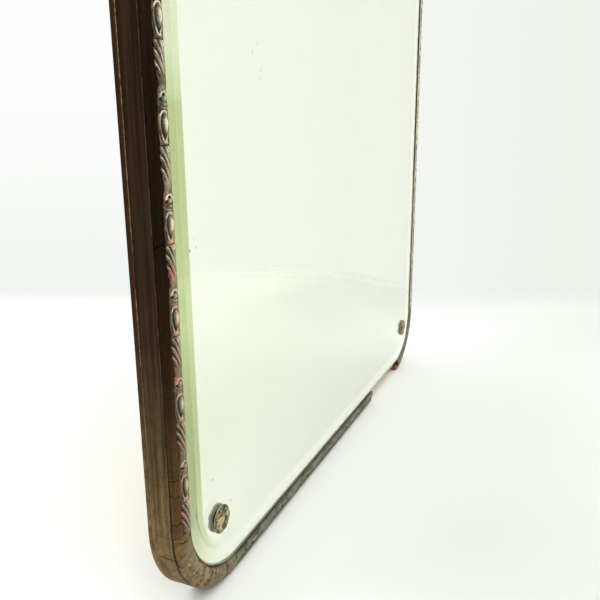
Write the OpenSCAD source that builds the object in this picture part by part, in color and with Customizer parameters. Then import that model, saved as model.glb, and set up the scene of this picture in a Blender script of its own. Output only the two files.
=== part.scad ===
// Wall mirror with a bevelled plate, rosette mirror screws and a moulded frame.
// The wall plane is Y = 0 and the glass faces -Y. Z = 0 is the underside of the frame
// and X = 0 its centre line. All sizes are in millimetres.

/* [Frame] */
// Overall width of the frame
frame_w = 808; // [600:1:1000]
// Overall height of the frame
frame_h = 1098; // [800:1:1400]
// Outer radius of the frame's rounded corners
outer_r = 98; // [80:1:140]
// Width of the front bead, from the glass to the outer edge
bead_w = 20.2; // [19:0.1:26]
// Thickness of the side mouldings
side_t = 12.4; // [9:0.1:14]
// Chamfer on the front edge of the side mouldings
arris = 0.8; // [0.4:0.1:1.5]
// Depth of the quirk between the bead and the side moulding
quirk_d = 1; // [0.4:0.1:2]
// Width of the quirk between the bead and the side moulding
quirk_w = 0.9; // [0.4:0.1:1.6]

/* [Front bead] */
// How far the ornament's bed lies behind the front of the glass
bed_drop = 1.1; // [0.8:0.1:2]
// Radius of the outer thumb of the bead
thumb_r = 7.6; // [6:0.1:8.2]
// How far the top of the thumb lies behind the front of the glass
thumb_drop = 0.1; // [0:0.1:1]
// Radius of the plain crown on the corner beads
crown_r = 11; // [9:0.1:14]
// How far the plain crown stands in front of the glass
crown_rise = 1.3; // [0.5:0.1:2]
// Distance of the crown from the glass side of the bead
crown_s = 8.2; // [6:0.1:10]

/* [Broken stretch of the bottom moulding] */
// Where the bottom moulding is broken off, right of the centre line
break_x = 154; // [0:1:200]
// Length of moulding that is left on the bottom right corner
break_stub = 6; // [2:0.5:20]

/* [Ornament] */
// Length of one pattern repeat, and of one casting
repeat_l = 75.2; // [60:0.1:90]
// Distance of the first cabochon's centre from the start of a run
first_oval = 45.4; // [40:0.1:55]
// Gap between the ornament and the thumb of the bead
ornament_gap = 0.8; // [0.3:0.1:1.2]
// Thickness of the castings between the raised forms
cast_t = 1.1; // [0.8:0.1:2]
// Height of the crests above the bed
crest_h = 3.9; // [3:0.1:5]
// Distance of the crests from the glass side of the bead
crest_s = 6.4; // [5.5:0.1:6.5]
// Length of a cabochon
oval_l = 25.4; // [20:0.1:30]
// Width of the raised rim round a cabochon
oval_w = 10.6; // [8:0.1:11]
// Diameter of the knob between leaf and cabochon
knob_d = 7; // [5:0.1:8]
// Length of a leaf
leaf_l = 30; // [20:0.5:34]
// Height of a leaf above the bed
leaf_h = 3; // [2:0.1:4]
// Distance from a cabochon's centre down to the joint below it
joint_below_oval = 15; // [13:0.1:16]
// Distance from a cabochon's centre up to the knob above it
knob_above_oval = 20.4; // [18:0.1:24]
// Diameter of the beaded lip beside the glass
lip_d = 1.4; // [0.8:0.1:2]
// Gap between two castings
cast_gap = 0.5; // [0.2:0.1:1]

/* [Boards and members] */
// Thickness of the front boards
board_t = 9; // [7:0.5:14]
// Gap between two boards
board_gap = 0.4; // [0.2:0.1:1]
// Width of the stiles and rails behind the boards
member_w = 76; // [70:1:100]
// Thickness of the stiles and rails
member_t = 10; // [9:0.5:16]
// Distance of a batten's middle from the nearer end of the frame
batten_in = 373; // [200:1:400]
// Width of the battens between the stiles
batten_w = 62; // [40:1:90]
// How far a batten is housed in each stile
housing_d = 12; // [8:1:20]
// Thickness of the rear strips that stand against the wall
rear_t = 5.2; // [5.2:0.1:8]
// Width of the rear strips
rear_w = 22; // [18:1:30]

/* [Glass] */
// Thickness of the glass
glass_t = 6; // [4.5:0.1:8]
// Gap between the glass and the bead
glass_gap = 0.8; // [0.5:0.1:2]
// How much larger the radius of the plate's corners is than the opening's
corner_ease = 1.2; // [0:0.1:3]
// Width of the bevel
bevel_w = 19; // [10:0.5:30]
// How much the bevel thins the plate at its edge
bevel_drop = 1.2; // [0.6:0.1:3.6]
// Thickness of the silvering and its backing paint
silver_t = 0.1; // [0.05:0.01:0.2]
// Thickness of the felt sheet behind the glass
felt_t = 0.6; // [0.4:0.1:1.5]
// Length of the setting pads under the plate
pad_l = 40; // [20:1:60]
// Distance of the left setting pad from the centre line
pad_x = 190; // [100:5:250]

/* [Mirror screws and rosettes] */
// Distance of a rosette's centre from the side of the frame
rosette_in = 71.8; // [62:0.1:90]
// Distance of a rosette's centre from the top or bottom of the frame
rosette_up = 76.8; // [66:0.1:90]
// Diameter of a rosette
rosette_d = 28; // [24:0.5:36]
// Height of a rosette in front of the glass
rosette_h = 4.4; // [4:0.1:6]
// Width and thickness of a rosette's rim
rosette_rim = 1.4; // [1:0.1:2]
// Diameter of the petals round a rosette
petal_d = 6.8; // [5:0.1:7.6]
// Diameter of the boss in the middle of a rosette
boss_d = 6.4; // [4:0.1:8]
// Diameter of the stud that a rosette screws in by
stud_d = 2.4; // [2:0.1:2.6]
// Length of the stud
stud_l = 5; // [3:0.5:7]
// Diameter of a mirror screw's shank
mscrew_d = 4; // [3:0.1:5]
// Diameter of a mirror screw's head
mscrew_head_d = 8; // [7:0.1:10]
// Thickness of a mirror screw's head
mscrew_head_t = 1.2; // [0.8:0.1:1.6]
// How deep a mirror screw goes into the members
mscrew_bite = 8; // [5:0.5:9]
// Diameter of the holes in the glass
glass_hole_d = 8; // [7:0.1:10]
// Diameter of the washers under the screw heads
washer_d = 16; // [12:0.5:18]
// Thickness of the washers under the screw heads
washer_t = 0.8; // [0.5:0.1:1.2]

/* [Screws] */
// Diameter of the wood screws
screw_d = 3; // [2.5:0.1:4]
// Head diameter of the wood screws
screw_head_d = 6; // [5:0.1:7.5]
// Length of the screws in the boards
board_screw_l = 15; // [12:0.5:16]
// Length of the screws in the rear strips
rear_screw_l = 12; // [10:0.5:14]
// Distance of the rear strips' screws from the outside of the frame
rear_screw_in = 17; // [16.5:0.5:19]
// Distance of the boards' screws from the outside of the boards
board_screw_in = 22; // [10:1:40]
// Width of a screw's slot
slot_w = 0.8; // [0.5:0.1:1.2]
// Depth of a screw's slot
slot_d = 0.6; // [0.4:0.1:0.8]
// How much deeper a blind hole is than its screw
hole_extra = 0.5; // [0.2:0.1:1]
// Radial clearance round screws, sleeves and washers
fit_gap = 0.05; // [0.02:0.01:0.1]

/* [Ring hangers] */
// Distance of the hangers from the top of the frame
hanger_down = 298; // [200:1:300]
// Width of a hanger's strap
strap_w = 18; // [14:0.5:20]
// Length of a hanger's strap
strap_l = 34; // [30:0.5:40]
// Gap between the strap and the rear strip
strap_gap = 4; // [2:0.5:10]
// Distance from the ring's bar to the nearer screw of a strap
strap_screw_near = 11; // [8:0.5:12]
// Distance from the ring's bar to the farther screw of a strap
strap_screw_far = 27; // [20:0.5:29]
// Thickness of the strap
strap_t = 1.2; // [0.8:0.1:1.5]
// Diameter of the ring's wire
ring_d = 2.6; // [2:0.1:2.6]
// Radius of the ring, to the middle of its wire
ring_r = 12; // [11:0.1:16]
// Wall of the barrel that holds the ring
barrel_wall = 1.15; // [0.8:0.05:1.15]
// Radial running clearance of the ring in its barrel
ring_gap = 0.06; // [0.02:0.01:0.1]
// Diameter of the hanger screws' heads
pan_d = 6; // [5:0.1:7]
// Height of the hanger screws' heads
pan_h = 1.2; // [0.8:0.1:1.4]
// Length of the hanger screws in the wood
hanger_screw_l = 8; // [6:0.5:9]

/* [Hidden] */
$fn = 96;
eps = 0.01;
cut = 1;
half_w = frame_w / 2;
half_h = frame_h / 2;
sight_w = half_w - bead_w;
sight_h = half_h - bead_w;
sight_r = outer_r - bead_w;
side_run = half_h - outer_r;
end_run = half_w - outer_r;
rear_y = -rear_t;
board_y = rear_y - member_t;
front_y = board_y - board_t;
silver_y = front_y - felt_t;
glass_back_y = silver_y - silver_t;
glass_y = glass_back_y - glass_t;
glass_half_w = sight_w - glass_gap;
glass_half_h = sight_h - glass_gap;
glass_inset = bead_w + glass_gap;
glass_r = sight_r + corner_ease;
glass_v = front_y - glass_y;
bed_h = glass_v - bed_drop;
lip_h = glass_v - thumb_drop;
crown_h = glass_v + crown_rise;
ornament_w = bead_w - thumb_r - ornament_gap;
body_t = board_t + member_t;
boards = 5;
board_span = frame_w - 2 * side_t;
board_w = board_span / boards;
member_x = half_w - side_t;
lap_t = member_t / 2;
through = 60;
rim_r = (oval_l * oval_l + oval_w * oval_w) / (4 * oval_w);
rim_t = 1;
collar_d = knob_d + 0.8;
collar_t = 1.6;
end_clear = 4;
petals = 8;
petal_r = petal_d / 2;
petal_ring = rosette_d / 2 - rosette_rim - petal_r;
boss_r = boss_d / 2;
cap_gap = 0.3;
cap_wall = 0.8;
stile_screws = 5;
screw_from_end = 26;
rear_screw_end = 40;
side_screw_spots = [-1, -0.5, 0, 0.5, 1];
end_screw_spots = [-1, 0, 1];
batten_levels = [batten_in, frame_h - batten_in];
barrel_r = ring_d / 2 + ring_gap + barrel_wall;
barrel_y = rear_y + barrel_r;
ring_x = half_w - rear_w - strap_gap - strap_l;
strap_screws = [strap_screw_near, strap_screw_far];
hanger_z = frame_h - hanger_down;
pads = [-pad_x, break_x - pad_l];
// Turns that bring the left side's drawing to the four sides
left = 0;
top = 90;
right = 180;
bottom = 270;
// Turns that bring the top right corner's drawing to the four corners
top_right = 0;
bottom_right = 90;
bottom_left = 180;
top_left = 270;
corners = [top_right, bottom_right, bottom_left, top_left];

// Placing shapes on the frame

// Height of a place that lies at a distance from the bottom, or from the top
function from_end(high, distance) = high ? frame_h - distance : distance;

// A rounded rectangle, inset from the frame's outer edge, in X and Z
module outline(inset, r) {
    w = frame_w - 2 * inset;
    h = frame_h - 2 * inset;
    translate([-w / 2, inset]) union() {
        translate([r, 0]) square([w - 2 * r, h]);
        translate([0, r]) square([w, h - 2 * r]);
        for (x = [r, w - r], y = [r, h - r]) translate([x, y]) circle(r);
    }
}

// A slab of a shape in X and Z, whose rear face is at y
module slab(y, t) {
    translate([0, y, 0]) rotate([90, 0, 0]) linear_extrude(t) children();
}

// Children are drawn for the left side: outward is -X, forward is -Y and the run is Z
module on_side(turn, half) {
    translate([0, front_y, half_h]) rotate([0, turn, 0]) translate([-half, 0, 0]) children();
}

// A section (outward, forward) is drawn along a side, from one place of its run to another
module straight(turn, half, from, to) {
    on_side(turn, half) translate([0, 0, from]) rotate([0, 0, 180])
        linear_extrude(to - from) children();
}

// The same section swept round a corner
module swept(turn, half_x, half_z, r) {
    sx = (turn == top_right || turn == bottom_right) ? 1 : -1;
    sz = (turn == top_right || turn == top_left) ? 1 : -1;
    translate([sx * (half_x - r), front_y, half_h + sz * (half_z - r)]) rotate([0, turn, 0])
        rotate([90, 0, 0]) rotate_extrude(angle = 90) translate([r, 0]) children();
}

module frame_run(turn, from, to) {
    straight(turn, (turn == left || turn == right) ? sight_w : sight_h, from, to) children();
}

module frame_corner(turn) {
    swept(turn, sight_w, sight_h, sight_r) children();
}

// Screws

module screw_body(l, d, head_d, gap) {
    cone = (head_d - d) / 2;
    cylinder(h = l, d = d + 2 * gap);
    cylinder(h = cone, d1 = head_d + 2 * gap, d2 = d + 2 * gap);
}

// A countersunk screw whose head is flush at z = 0 and whose shank goes up Z
module screw(l) {
    difference() {
        screw_body(l, screw_d, screw_head_d, 0);
        translate([-screw_head_d, -slot_w / 2, -cut]) cube([2 * screw_head_d, slot_w, slot_d + cut]);
    }
}

module screw_hole(l) {
    translate([0, 0, -eps]) screw_body(l + eps + hole_extra, screw_d, screw_head_d, fit_gap);
}

// Children drawn up Z are laid at (x, z) on the boards' front face, going to the rear
module into_front(x, z) {
    translate([x, front_y, z]) rotate([-90, 0, 0]) children();
}

// The same from a face at the rear, going to the front
module into_rear(x, y, z) {
    translate([x, y, z]) rotate([90, 0, 0]) children();
}

// Places of the board screws: down both edges of the outer boards, and along both rails
module each_board_screw() {
    first = rosette_up + screw_from_end;
    step = (frame_h - 2 * first) / (stile_screws - 1);
    for (s = [-1, 1], i = [0 : stile_screws - 1])
        translate([s * (member_x - board_screw_in), 0, first + i * step]) children();
    for (b = [1 : boards - 2], high = [false, true]) {
        x = -board_span / 2 + (b + 0.5) * board_w;
        translate([x, 0, from_end(high, side_t + board_screw_in)]) children();
    }
    for (b = [1 : boards - 2], level = batten_levels) {
        x = -board_span / 2 + (b + 0.5) * board_w;
        translate([x, 0, level]) children();
    }
}

module all_board_screws(holes) {
    each_board_screw() into_front(0, 0) {
        if (holes) screw_hole(board_screw_l);
        else screw(board_screw_l);
    }
}

module each_rear_screw() {
    for (s = [-1, 1], k = side_screw_spots)
        translate([s * (half_w - rear_screw_in), 0, half_h + k * (side_run - rear_screw_end)]) children();
    for (s = [-1, 1], k = end_screw_spots)
        translate([k * (end_run - rear_screw_end), 0, half_h + s * (half_h - rear_screw_in)]) children();
}

module all_rear_screws(holes) {
    each_rear_screw() into_rear(0, 0, 0) {
        if (holes) screw_hole(rear_screw_l);
        else screw(rear_screw_l);
    }
}

module at_rosette(side, high) {
    translate([side * (half_w - rosette_in), 0, from_end(high, rosette_up)]) children();
}

module each_rosette() {
    for (side = [-1, 1], high = [false, true]) at_rosette(side, high) children();
}

module mirror_screw_holes(d) {
    each_rosette() translate([0, rear_y, 0]) rotate([90, 0, 0])
        translate([0, 0, member_t - mscrew_bite - hole_extra]) cylinder(h = through, d = d + 2 * fit_gap);
}

// Members behind the boards

module member_outline() {
    outline(side_t, outer_r - side_t);
}

module member_holes() {
    mirror_screw_holes(mscrew_d);
    all_board_screws(true);
    all_rear_screws(true);
    hanger_holes();
}

module housings() {
    for (level = batten_levels) translate([-member_x + member_w - housing_d, board_y + lap_t, 0])
        translate([0, -lap_t - cut, level - batten_w / 2])
            cube([2 * (member_x - member_w + housing_d), lap_t + cut, batten_w]);
}

// A stile keeps its rear half at its ends, where the rails are lapped over it
module stile(side) {
    color("burlywood") difference() {
        intersection() {
            slab(rear_y, member_t) member_outline();
            translate([side > 0 ? member_x - member_w : -member_x, board_y - cut, 0])
                cube([member_w, member_t + 2 * cut, frame_h]);
        }
        for (z = [-cut, frame_h - side_t - member_w])
            translate([-half_w, board_y - cut, z]) cube([frame_w, lap_t + cut, member_w + side_t + cut]);
        housings();
        member_holes();
    }
}

module rail(high) {
    z = high ? frame_h - side_t - member_w : side_t;
    color("burlywood") difference() {
        intersection() {
            slab(rear_y, member_t) member_outline();
            translate([-half_w, board_y - cut, z]) cube([frame_w, member_t + 2 * cut, member_w]);
        }
        for (s = [-1, 1]) translate([s > 0 ? member_x - member_w : -half_w, rear_y - lap_t, z - cut])
            cube([member_w + side_t, lap_t + cut, member_w + 2 * cut]);
        member_holes();
    }
}

module batten(level) {
    w = 2 * (member_x - member_w);
    color("burlywood") difference() {
        translate([-w / 2 - housing_d, board_y, level - batten_w / 2]) union() {
            cube([w + 2 * housing_d, lap_t, batten_w]);
            translate([housing_d, 0, 0]) cube([w, member_t, batten_w]);
        }
        member_holes();
    }
}

// Boards

module board(i) {
    x0 = i == 0 ? -half_w : i * board_w - board_span / 2 + board_gap / 2;
    x1 = i == boards - 1 ? half_w : (i + 1) * board_w - board_span / 2 - board_gap / 2;
    color("wheat") difference() {
        intersection() {
            slab(board_y, board_t) member_outline();
            translate([x0, front_y - cut, 0]) cube([x1 - x0, board_t + 2 * cut, frame_h]);
        }
        mirror_screw_holes(mscrew_d);
        all_board_screws(true);
    }
}

module board_screws() {
    color("gray") all_board_screws(false);
}

// Glass and what lies behind it

module felt_sheet() {
    color("saddlebrown") difference() {
        slab(front_y, felt_t) outline(glass_inset, glass_r);
        mirror_screw_holes(glass_hole_d);
    }
}

module silvering() {
    color("silver") difference() {
        slab(silver_y, silver_t) outline(glass_inset, glass_r);
        mirror_screw_holes(glass_hole_d);
    }
}

// What the grinding wheel takes off the plate: outward 0 is the plate's edge
module bevel_section() {
    low = glass_v - bevel_drop - cut * bevel_drop / bevel_w;
    polygon([[-bevel_w, glass_v], [cut, low], [cut, glass_v + cut], [-bevel_w, glass_v + cut]]);
}

module mirror_glass() {
    run_z = glass_half_h - glass_r + cut;
    run_x = glass_half_w - glass_r + cut;
    color("honeydew", 0.5) difference() {
        slab(glass_back_y, glass_t) outline(glass_inset, glass_r);
        for (turn = [left, right]) straight(turn, glass_half_w, -run_z, run_z) bevel_section();
        for (turn = [top, bottom]) straight(turn, glass_half_h, -run_x, run_x) bevel_section();
        for (turn = corners) swept(turn, glass_half_w, glass_half_h, glass_r) bevel_section();
        mirror_screw_holes(glass_hole_d - 2 * fit_gap);
    }
}

// Thin pads that carry the plate's lower edge on the bottom bead
module setting_pads() {
    color("dimgray") for (x = pads)
        translate([x - pad_l / 2, glass_y + bevel_drop + fit_gap, bead_w + fit_gap])
            cube([pad_l, glass_t - bevel_drop - fit_gap, glass_gap - 2 * fit_gap]);
}

// Rosettes and their screws, drawn round Z with the glass at z = 0 and the front up

module on_glass() {
    translate([0, glass_y, 0]) rotate([90, 0, 0]) children();
}

module rosette_cap() {
    back = washer_t + mscrew_head_t;
    cone_h = back + cap_wall - cap_gap;
    color("darkgoldenrod") union() {
        difference() {
            union() {
                translate([0, 0, cap_gap]) cylinder(h = rosette_rim, d = rosette_d);
                translate([0, 0, cap_gap])
                    cylinder(h = cone_h, r1 = rosette_d / 2 - rosette_rim, r2 = petal_ring);
                for (i = [0 : petals - 1]) rotate([0, 0, i * 360 / petals])
                    translate([petal_ring, 0, rosette_h - petal_r]) sphere(petal_r);
                translate([0, 0, rosette_h - boss_r]) sphere(boss_r);
            }
            translate([0, 0, -cut]) cylinder(h = back + cut, d = washer_d + 2 * cap_gap);
            translate([0, 0, cap_gap - rosette_d]) cylinder(h = rosette_d, d = 2 * rosette_d);
        }
        translate([0, 0, back - stud_l]) cylinder(h = stud_l + eps, d = stud_d);
    }
}

module rosette(side, high) {
    at_rosette(side, high) on_glass() rosette_cap();
}

module rosette_washers() {
    color("dimgray") each_rosette() on_glass() difference() {
        cylinder(h = washer_t, d = washer_d);
        translate([0, 0, -cut]) cylinder(h = washer_t + 2 * cut, d = mscrew_d + 2 * fit_gap);
    }
}

module glass_sleeves() {
    l = glass_t + silver_t + felt_t;
    color("dimgray") each_rosette() on_glass() translate([0, 0, -l]) difference() {
        cylinder(h = l, d = glass_hole_d - 2 * fit_gap);
        translate([0, 0, -cut]) cylinder(h = l + 2 * cut, d = mscrew_d + 2 * fit_gap);
    }
}

// Each screw has a bore in its head that takes the rosette's stud
module mirror_screws() {
    reach = glass_t + silver_t + felt_t + board_t + mscrew_bite;
    color("goldenrod") each_rosette() on_glass() difference() {
        union() {
            translate([0, 0, washer_t]) cylinder(h = mscrew_head_t, d = mscrew_head_d);
            translate([0, 0, -reach]) cylinder(h = reach + washer_t + eps, d = mscrew_d);
        }
        translate([0, 0, washer_t + mscrew_head_t - stud_l - hole_extra])
            cylinder(h = stud_l + hole_extra + cut, d = stud_d + 2 * fit_gap);
    }
}

// Sections of the mouldings: outward from the glass side, forward from the boards' front

module side_section() {
    inner = bead_w - side_t;
    polygon([[inner, -body_t], [bead_w, -body_t], [bead_w, -arris], [bead_w - arris, 0], [inner, 0]]);
}

module rear_section() {
    translate([bead_w - rear_w, -body_t - rear_t]) square([rear_w, rear_t]);
}

module thumb() {
    intersection() {
        translate([bead_w - thumb_r, lip_h - thumb_r]) circle(thumb_r);
        translate([bead_w - thumb_r, 0]) square([thumb_r, thumb_r]);
    }
}

module quirk() {
    translate([bead_w - quirk_d, -eps]) square([quirk_d + cut, quirk_w + eps]);
}

module bead_section() {
    difference() {
        union() {
            square([bead_w - thumb_r, bed_h]);
            thumb();
        }
        quirk();
    }
}

module bead_corner_section() {
    difference() {
        union() {
            square([bead_w - thumb_r, lip_h]);
            thumb();
            intersection() {
                translate([crown_s, crown_h - crown_r]) circle(crown_r);
                square([bead_w, crown_h]);
            }
        }
        quirk();
    }
}

module side_part(turn, from, to) {
    color("saddlebrown") frame_run(turn, from, to) side_section();
}

module bead_part(turn, from, to) {
    color("sienna") frame_run(turn, from, to) bead_section();
}

module rear_part(turn, from, to) {
    color("saddlebrown") difference() {
        frame_run(turn, from, to) rear_section();
        all_rear_screws(true);
    }
}

module side_corner(turn) {
    color("saddlebrown") frame_corner(turn) side_section();
}

module bead_corner(turn) {
    color("sienna") frame_corner(turn) bead_corner_section();
}

module rear_corner(turn) {
    color("saddlebrown") frame_corner(turn) rear_section();
}

// The bottom right corner keeps a short stub of the broken bottom moulding
module side_corner_bottom_right() {
    color("saddlebrown") union() {
        frame_corner(bottom_right) side_section();
        frame_run(bottom, -end_run, -end_run + break_stub) side_section();
    }
}

module bead_corner_bottom_right() {
    color("sienna") union() {
        frame_corner(bottom_right) bead_corner_section();
        frame_run(bottom, -end_run, -end_run + break_stub) bead_corner_section();
    }
}

// Ornament, drawn along Z with outward -X and forward -Y, on the bead's bed

// Half a body of revolution along Z, its flat side on the bed
module half_turned() {
    rotate([0, 0, 180]) rotate_extrude(angle = 180) children();
}

// Half a spindle whose ends are pointed
module half_spindle(l, r) {
    big = (l * l / 4 + r * r) / (2 * r);
    half_turned() intersection() {
        translate([r - big, 0]) circle(big);
        translate([0, -l / 2]) square([r, l]);
    }
}

// A cabochon in its raised rim, which is an oval of two arcs
module cabochon() {
    rotate([90, 0, 0]) linear_extrude(cast_t + rim_t) intersection() {
        translate([rim_r - oval_w / 2, 0]) circle(rim_r);
        translate([oval_w / 2 - rim_r, 0]) circle(rim_r);
    }
    half_spindle(oval_l, crest_h);
}

module knob() {
    half_spindle(knob_d, knob_d / 2);
    translate([0, 0, knob_d / 2]) half_turned() square([collar_d / 2, collar_t]);
}

// Draws a form at every repeat where it fits whole between from and to
module fitted(offset, reach, from, to) {
    for (k = [0 : floor(to / repeat_l) + 1]) {
        z = first_oval + offset + k * repeat_l;
        if (z - reach > from && z + reach < to) translate([-crest_s, 0, z]) children();
    }
}

// One casting between two joints: a cabochon, then the knob and the leaf above it
module casting(from, to) {
    leaf_offset = repeat_l - joint_below_oval - leaf_l / 2 - cast_gap;
    union() {
        translate([0, 0, from]) rotate([0, 0, 180]) linear_extrude(to - from) union() {
            square([ornament_w, cast_t]);
            intersection() {
                translate([lip_d / 2, cast_t]) circle(d = lip_d);
                square([lip_d, 2 * cast_t]);
            }
        }
        fitted(0, oval_l / 2, from, to) cabochon();
        fitted(knob_above_oval, knob_d / 2 + collar_t, from, to) knob();
        fitted(leaf_offset - repeat_l, leaf_l / 2, from, to) half_spindle(leaf_l, leaf_h);
    }
}

// A run of castings from one end of a side to the other, jointed below each cabochon
module ornament(turn, from, to) {
    l = to - from;
    joints = [for (k = [0 : floor(l / repeat_l) + 1]) first_oval - joint_below_oval + k * repeat_l];
    inner = [for (j = joints) if (j > end_clear && j < l - end_clear) j];
    starts = concat([0], [for (j = inner) j + cast_gap / 2]);
    ends = concat([for (j = inner) j - cast_gap / 2], [l]);
    half = (turn == left || turn == right) ? sight_w : sight_h;
    color("lightgray") on_side(turn, half) translate([-fit_gap, -bed_h, from])
        for (i = [0 : len(starts) - 1]) casting(starts[i], ends[i]);
}

// Rear strips' screws and ring hangers

module rear_screws() {
    color("gray") all_rear_screws(false);
}

module each_hanger_screw() {
    for (s = [-1, 1], k = strap_screws) translate([s * (ring_x + k), 0, hanger_z]) children();
}

module hanger_holes() {
    each_hanger_screw() into_rear(0, rear_y, 0) translate([0, 0, -eps])
        cylinder(h = hanger_screw_l + hole_extra, d = screw_d + 2 * fit_gap);
}

// The strap is folded round the ring's bar, so its barrel stands up from the wood
module hanger_strap(side) {
    color("lightslategray") difference() {
        union() {
            translate([side > 0 ? ring_x : -ring_x - strap_l, rear_y, hanger_z - strap_w / 2])
                cube([strap_l, strap_t, strap_w]);
            translate([side * ring_x, barrel_y, hanger_z - strap_w / 2]) cylinder(h = strap_w, r = barrel_r);
        }
        translate([side * ring_x, barrel_y, hanger_z - strap_w / 2 - cut])
            cylinder(h = strap_w + 2 * cut, d = ring_d + 2 * ring_gap);
        each_hanger_screw() translate([0, rear_y - cut, 0]) rotate([-90, 0, 0])
            cylinder(h = strap_t + 2 * cut, d = screw_d + 2 * fit_gap);
    }
}

// A D of wire that points to the middle of the mirror
module hanger_ring(side) {
    turn = side > 0 ? 180 : 0;
    color("lightslategray") translate([side * ring_x, barrel_y, hanger_z]) rotate([0, turn, 0]) union() {
        translate([0, 0, -ring_r]) cylinder(h = 2 * ring_r, d = ring_d);
        for (s = [-1, 1]) translate([0, 0, s * ring_r]) sphere(d = ring_d);
        rotate([90, 0, 0]) rotate([0, 0, -90])
            rotate_extrude(angle = 180) translate([ring_r, 0]) circle(d = ring_d);
    }
}

module hanger_screws() {
    color("lightslategray") each_hanger_screw() into_rear(0, rear_y + strap_t, 0) difference() {
        union() {
            cylinder(h = hanger_screw_l + strap_t, d = screw_d);
            translate([0, 0, -pan_h]) cylinder(h = pan_h, d = pan_d);
        }
        translate([-pan_d, -slot_w / 2, -pan_h - cut]) cube([2 * pan_d, slot_w, slot_d + cut]);
    }
}

stile(-1);  // left_stile
stile(1);  // right_stile
rail(true);  // top_rail
rail(false);  // bottom_rail
batten(batten_levels[1]);  // upper_batten
batten(batten_levels[0]);  // lower_batten
board(0);  // board_1
board(1);  // board_2
board(2);  // board_3
board(3);  // board_4
board(4);  // board_5
board_screws();
felt_sheet();
silvering();
mirror_glass();
setting_pads();
rosette(-1, false);  // rosette_bottom_left
rosette(1, false);  // rosette_bottom_right
rosette(-1, true);  // rosette_top_left
rosette(1, true);  // rosette_top_right
rosette_washers();
glass_sleeves();
mirror_screws();
side_part(left, -side_run, side_run);  // side_left
side_part(right, -side_run, side_run);  // side_right
side_part(top, -end_run, end_run);  // side_top
side_part(bottom, -break_x, end_run);  // side_bottom
side_corner(top_left);  // side_corner_top_left
side_corner(top_right);  // side_corner_top_right
side_corner(bottom_left);  // side_corner_bottom_left
side_corner_bottom_right();
bead_part(left, -side_run, side_run);  // bead_left
bead_part(right, -side_run, side_run);  // bead_right
bead_part(top, -end_run, end_run);  // bead_top
bead_part(bottom, -break_x, end_run);  // bead_bottom
bead_corner(top_left);  // bead_corner_top_left
bead_corner(top_right);  // bead_corner_top_right
bead_corner(bottom_left);  // bead_corner_bottom_left
bead_corner_bottom_right();
ornament(left, -side_run, side_run);  // ornament_left
ornament(right, -side_run, side_run);  // ornament_right
ornament(top, -end_run, end_run);  // ornament_top
ornament(bottom, -break_x, end_run);  // ornament_bottom
rear_part(left, -side_run, side_run);  // rear_left
rear_part(right, -side_run, side_run);  // rear_right
rear_part(top, -end_run, end_run);  // rear_top
rear_part(bottom, -end_run, end_run);  // rear_bottom
rear_corner(top_left);  // rear_corner_top_left
rear_corner(top_right);  // rear_corner_top_right
rear_corner(bottom_left);  // rear_corner_bottom_left
rear_corner(bottom_right);  // rear_corner_bottom_right
rear_screws();
hanger_strap(-1);  // left_hanger_strap
hanger_ring(-1);  // left_hanger_ring
hanger_strap(1);  // right_hanger_strap
hanger_ring(1);  // right_hanger_ring
hanger_screws();
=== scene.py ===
import math
from functools import cached_property

import bmesh
import bpy
import numpy as np
from mathutils import Matrix, Vector


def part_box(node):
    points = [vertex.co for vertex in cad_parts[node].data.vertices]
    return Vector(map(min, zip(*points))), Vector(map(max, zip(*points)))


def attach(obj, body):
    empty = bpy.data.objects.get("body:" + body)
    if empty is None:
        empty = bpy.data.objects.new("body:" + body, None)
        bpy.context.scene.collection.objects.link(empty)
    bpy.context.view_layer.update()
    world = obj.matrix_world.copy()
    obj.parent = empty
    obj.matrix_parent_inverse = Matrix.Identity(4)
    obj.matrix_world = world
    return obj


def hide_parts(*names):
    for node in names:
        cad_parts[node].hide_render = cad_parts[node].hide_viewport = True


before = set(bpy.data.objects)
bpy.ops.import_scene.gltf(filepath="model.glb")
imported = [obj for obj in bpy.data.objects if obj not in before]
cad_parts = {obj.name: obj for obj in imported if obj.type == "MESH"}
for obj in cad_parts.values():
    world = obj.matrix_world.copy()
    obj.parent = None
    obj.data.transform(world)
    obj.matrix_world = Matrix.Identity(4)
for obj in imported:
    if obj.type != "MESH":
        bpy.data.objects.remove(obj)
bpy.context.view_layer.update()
mm = 0.001

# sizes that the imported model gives
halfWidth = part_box("side_right")[1].x
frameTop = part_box("side_top")[1].z
halfHeight = frameTop / 2
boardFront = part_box("board_3")[0].y
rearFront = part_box("rear_left")[0].y
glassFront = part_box("mirror_glass")[0].y
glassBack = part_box("mirror_glass")[1].y
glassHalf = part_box("mirror_glass")[1].x
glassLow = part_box("mirror_glass")[0].z
sightHalf = -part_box("bead_left")[1].x
beadWidth = halfWidth - sightHalf
sideRun = (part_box("bead_left")[1].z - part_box("bead_left")[0].z) / 2
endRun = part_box("bead_top")[1].x
outerRadius = halfHeight - sideRun
sightRadius = outerRadius - beadWidth
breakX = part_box("bead_bottom")[1].x
sightHigh = halfHeight - beadWidth
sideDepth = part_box("side_left")[1].y - boardFront
rosettePlaces = {}
for place in ("top_left", "top_right", "bottom_left", "bottom_right"):
    low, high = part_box("rosette_" + place)
    rosettePlaces[place] = ((low.x + high.x) / 2, (low.z + high.z) / 2)
rosetteRadius = (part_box("rosette_top_left")[1].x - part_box("rosette_top_left")[0].x) / 2


def linkObject(name, data):
    piece = bpy.data.objects.new(name, data)
    bpy.context.scene.collection.objects.link(piece)
    return piece


def removeObjects(*pieces):
    for piece in pieces:
        bpy.data.objects.remove(piece)


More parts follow.
